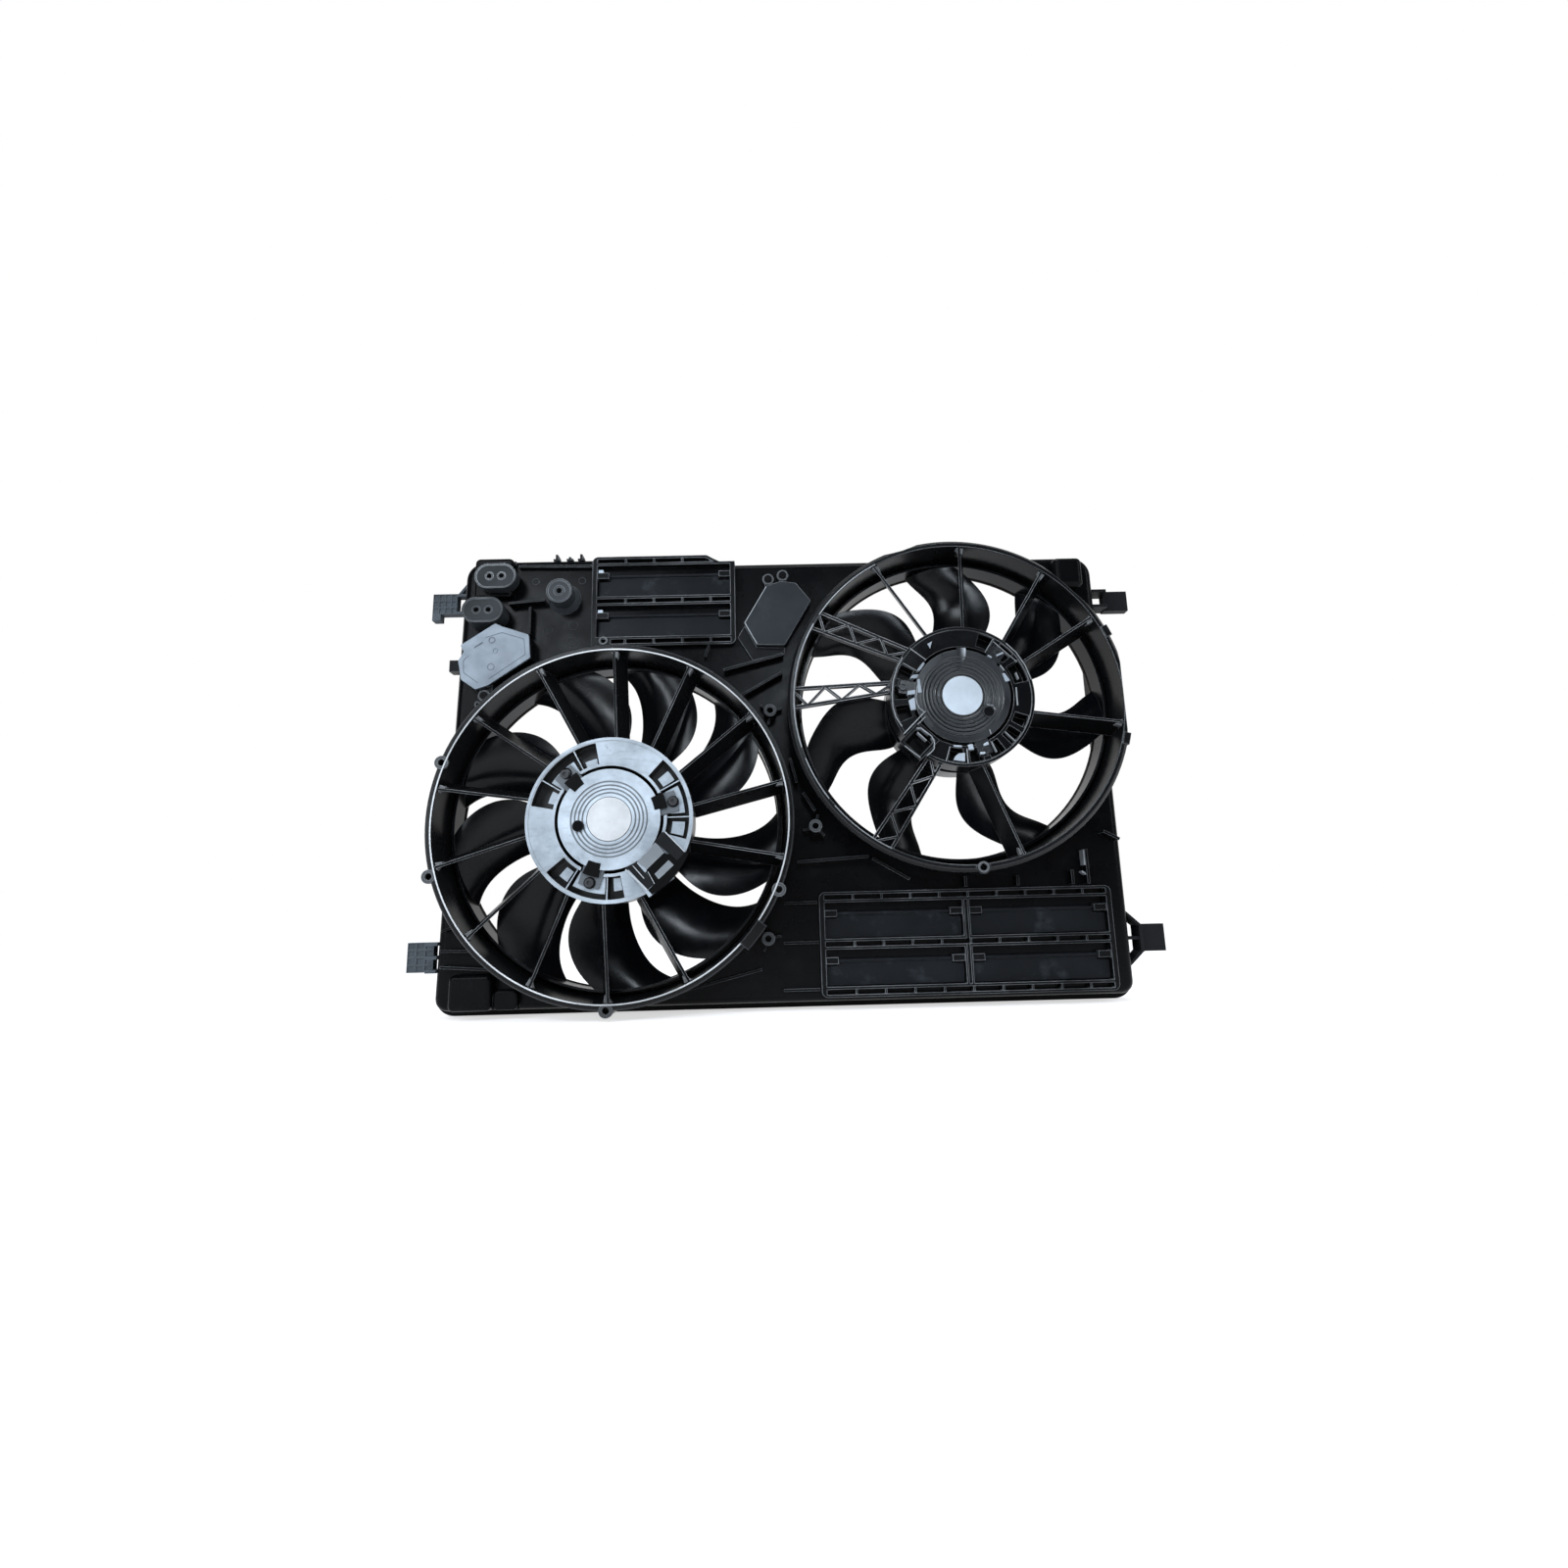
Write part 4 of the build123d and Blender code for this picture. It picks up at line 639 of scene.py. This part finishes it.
# Painted highlights: a broken grey line along the right duct's left edge, and glints on two ribs and the
# right module's edge
GLINT_STEPS = 12
glints = Form()
for first, last, width in ((118, 146, 0.9), (150, 196, 1.2), (200, 216, 1.0), (219, 243, 0.8)):
    turns = [first + (last - first) * i / GLINT_STEPS for i in range(GLINT_STEPS + 1)]
    glints.strip([ring_point(RIGHT_AXIS, 160.8, angle) for angle in turns], width, (83.4, 84.5))
glints.strip([(293.4, 142.5), (293.4, 127.5)], 1.5, (42.0, 51.5))
glints.strip([(290.5, 121.5), (295.0, 118.5)], 1.6, (42.0, 50.0))
glints.strip([(-11.6, 423.6), (-34.6, 384.0), (-22.4, 360.8)], 0.8, (53.6, 54.75))
glints.make("edge_glints", highlight_grey, "shroud", 0)

# Lips behind the fan bands
for side, axis, inner, outer in (("left", LEFT_AXIS, 156.6, 163.9), ("right", RIGHT_AXIS, 151.6, 159.2)):
    lip = Form()
    lip.hoop(axis, [(inner, 31.0), (outer, 31.0), (outer, 41.0), (outer - 1.1, 41.0), (outer - 1.1, 33.2),
                    (inner, 32.4)], 120)
    lip.make(side + "_orifice_lip", lip_brown, "shroud", 0)

# Faces of the screw posts and screw eyes, and the wells of the eyes, which are dark discs of painted shade
LEFT_EYE = (-298.0, 311.5)
MODULE_EYES = ((-9.7, 434.0), (5.5, 438.0))
faces = Form()
for angle, reach in ((160.0, 0.0), (-163.6, 2.5), (-90.4, 1.5), (-23.7, 0.0)):
    faces.washer(ring_point(LEFT_AXIS, 171.5 + reach, angle), 6.6, 3.3, (81.0, 84.3))
faces.washer(ring_point(RIGHT_AXIS, 163.0, -86), 5.4, 3.4, (84.0, 85.2))
for at in ((-10.6, 288.5), (31.1, 171.3), (-17.2, 65.0)):
    faces.washer(at, 6.3, 3.3, (58.0, 60.6))
faces.washer(LEFT_EYE, 6.0, 3.9, (54.0, 56.6))
faces.washer((-308.0, 305.6), 3.4, 1.6, (42.0, 47.0))
faces.washer((-181.0, 369.6), 4.6, 2.6, (42.0, 50.6))
for at in MODULE_EYES:
    faces.washer(at, 6.0, 3.9, (47.0, 49.5))
faces.make("post_faces", post_grey, "shroud", 0.5)
# Dark collars round the mount's screws, painted shade
collars = Form()
for angle in (133.0, 14.5, -106.5):
    collars.washer(ring_point(LEFT_AXIS, 61.3, angle), 5.4, 4.1, (82.0, 86.6))
collars.make("left_screw_collars", painted_shade_black, "shroud", 0)
wells = Form()
for at, top in ((LEFT_EYE, 57.0), (MODULE_EYES[0], 50.0), (MODULE_EYES[1], 50.0)):
    wells.washer(at, 3.8, 0.4, (top - 2, top + 1.15))
wells.make("screw_wells", painted_shade_black, "shroud", 0)

# Mouldings on the left module's lid
LID = 60.0
lid = Form()
lid.washer((-290.9, 368.6), 3.4, 2.5, (LID, LID + 0.8))
lid.washer((-290.8, 340.2), 3.6, 2.9, (LID, LID + 0.7))
lid.washer((-287.0, 357.2), 2.6, 2.0, (LID, LID + 0.7))
lid.strip([(-314.0, 352.5), (-318.5, 348.0), (-318.0, 335.0), (-303.0, 323.5)], 0.7, (LID, LID + 0.7))
lid.strip([(-297.5, 371.5), (-281.0, 376.5), (-258.5, 369.0), (-257.0, 352.5), (-292.5, 327.5)], 0.6,
          (LID, LID + 0.65))
lid.strip([(-300.0, 366.5), (-308.5, 361.0)], 1.2, (LID, LID + 1.0))
lid.make("left_lid_mouldings", lid_shade, "shroud", 0)

# Faint ejector marks on the face plate, by place, outer radius and width
FACE_MARKS = (41.5, 42.25)
marks = Form()
for at, outer, width in (((-214.1, 390.2), 5.2, 0.8), ((-214.6, 372.5), 5.2, 0.8),
                         ((-240.5, 385.5), 5.2, 0.8), ((-265.7, 373.7), 5.2, 0.8),
                         ((-255.0, 440.0), 4.0, 0.9), ((-206.0, 440.0), 4.0, 0.9),
                         ((-60.0, 440.0), 5.0, 0.9), ((-95.0, 30.0), 5.0, 0.9)):
    marks.washer(at, outer, outer - width, FACE_MARKS)
marks.make("face_marks", ramp_dark, "shroud", 0)

# Latch pads in the left corners of the upper windows, by their lower edges
latches = Form()
for low in (396.0, 440.5):
    latches.prism([(-187.5, low), (-182.5, low), (-182.5, low + 8.0), (-187.5, low + 8.0)], (44.5, 48.5))
latches.make("window_latches", pad_pale, "shroud")


# Floor, studio and lamps

FLOOR_SIZE = 14.0
FLOOR_GLOW = 0.62
COOL_LIGHT = (0.86, 0.93, 1.0)


def pale_surface(name):
    """Floor that is white to the camera where no shadow falls."""
    s = Shader(name)
    path = s.node("LightPath").outputs
    seen = s.math("MAXIMUM", path["Is Camera Ray"], path["Is Glossy Ray"])
    seen = s.math("MAXIMUM", seen, path["Is Transmission Ray"])
    s.put(s.bsdf.inputs["Emission Strength"], s.times(seen, FLOOR_GLOW))
    s.bsdf.inputs["Emission Color"].default_value = (1, 1, 1, 1)
    speckle = s.blend(s.noise(3.0), (0.86, 0.86, 0.87), (0.88, 0.88, 0.88))
    return s.finish(speckle, 0.9, Specular_IOR_Level=0.0)


def area(name, place, target, size, power, color=COOL_LIGHT):
    """Soft box that faces a point."""
    lamp = bpy.data.lights.new(name, "AREA")
    lamp.shape = "RECTANGLE"
    lamp.size, lamp.size_y = size
    lamp.energy = power
    lamp.color = color
    holder = bpy.data.objects.new(name, lamp)
    holder.location = place
    holder.rotation_euler = (Vector(target) - Vector(place)).to_track_quat("-Z", "Y").to_euler()
    holder.visible_camera = False
    bpy.context.scene.collection.objects.link(holder)


half = FLOOR_SIZE / 2
under = cad_box[0][2] - 0.0004
sheet = bpy.data.meshes.new("floor")
sheet.from_pydata([(-half, -half, under), (half, -half, under), (half, half, under), (-half, half, under)],
                  [], [(0, 1, 2, 3)])
sheet.materials.append(pale_surface("floor_pale"))
floor = bpy.data.objects.new("floor", sheet)
bpy.context.scene.collection.objects.link(floor)

# The world is white to the camera and in mirrored rays behind the part, and a soft grey otherwise
world = bpy.data.worlds.new("studio")
world.use_nodes = True
bpy.context.scene.world = world
studio = Graph(world.node_tree)
path = studio.node("LightPath").outputs
behind = studio.spread(studio.coordinate("Generated", "Y"), 0.10, 0.55)
mirrored = studio.math("MAXIMUM", path["Is Glossy Ray"], path["Is Transmission Ray"])
white = studio.math("MAXIMUM", path["Is Camera Ray"], studio.times(mirrored, behind))
room = studio.blend(mirrored, (0.49, 0.505, 0.53), (0.028, 0.032, 0.037))
background = studio.node("Background", {"Color": studio.blend(white, room, (1, 1, 1))})
studio.node("OutputWorld", {"Surface": background.outputs["Background"]})

area("key", (-0.64, -1.22, 0.86), (-0.2, -0.05, 0.3), (0.34, 0.30), 5.0)
area("top", (0.1, -0.45, 1.5), CENTRE, (0.9, 0.3), 7.0, (0.90, 0.95, 1.0))
area("side", (1.3, -0.7, 0.7), CENTRE, (0.2, 1.0), 4.0, (0.9, 0.95, 1.0))
area("left", (-0.95, -1.0, 0.42), (0.1, -0.05, 0.36), (0.14, 0.5), 4.5)
area("front", (0.09, -1.05, 0.62), (0.17, -0.05, 0.40), (0.26, 0.12), 3.0, (0.82, 0.91, 1.0))


# Camera of the photograph, from its fitted focal length in pixels, its turn and its place

PHOTO_WIDTH = 1600
FOCAL_PIXELS = 750
SENSOR = 36.0
YAW, PITCH, ROLL = -0.677, 10.285, 1.479

camera_data = bpy.data.cameras.new("photo_camera")
camera_data.sensor_width = SENSOR
camera_data.sensor_fit = "HORIZONTAL"
camera_data.lens = SENSOR * FOCAL_PIXELS / PHOTO_WIDTH
camera_data.clip_start = 0.01
camera = bpy.data.objects.new("photo_camera", camera_data)
turn = (Matrix.Rotation(radians(YAW), 3, "Z") @ Matrix.Rotation(radians(PITCH), 3, "X")
        @ Matrix.Rotation(radians(ROLL), 3, "Y"))
right, ahead, up = turn.col[0], turn.col[1], turn.col[2]
pose = Matrix((right, up, -ahead)).transposed().to_4x4()
pose.translation = Vector((-0.007, -0.76985, 0.0845))
camera.matrix_world = pose
bpy.context.scene.collection.objects.link(camera)
bpy.context.scene.camera = camera
bpy.context.scene.view_settings.view_transform = "Standard"
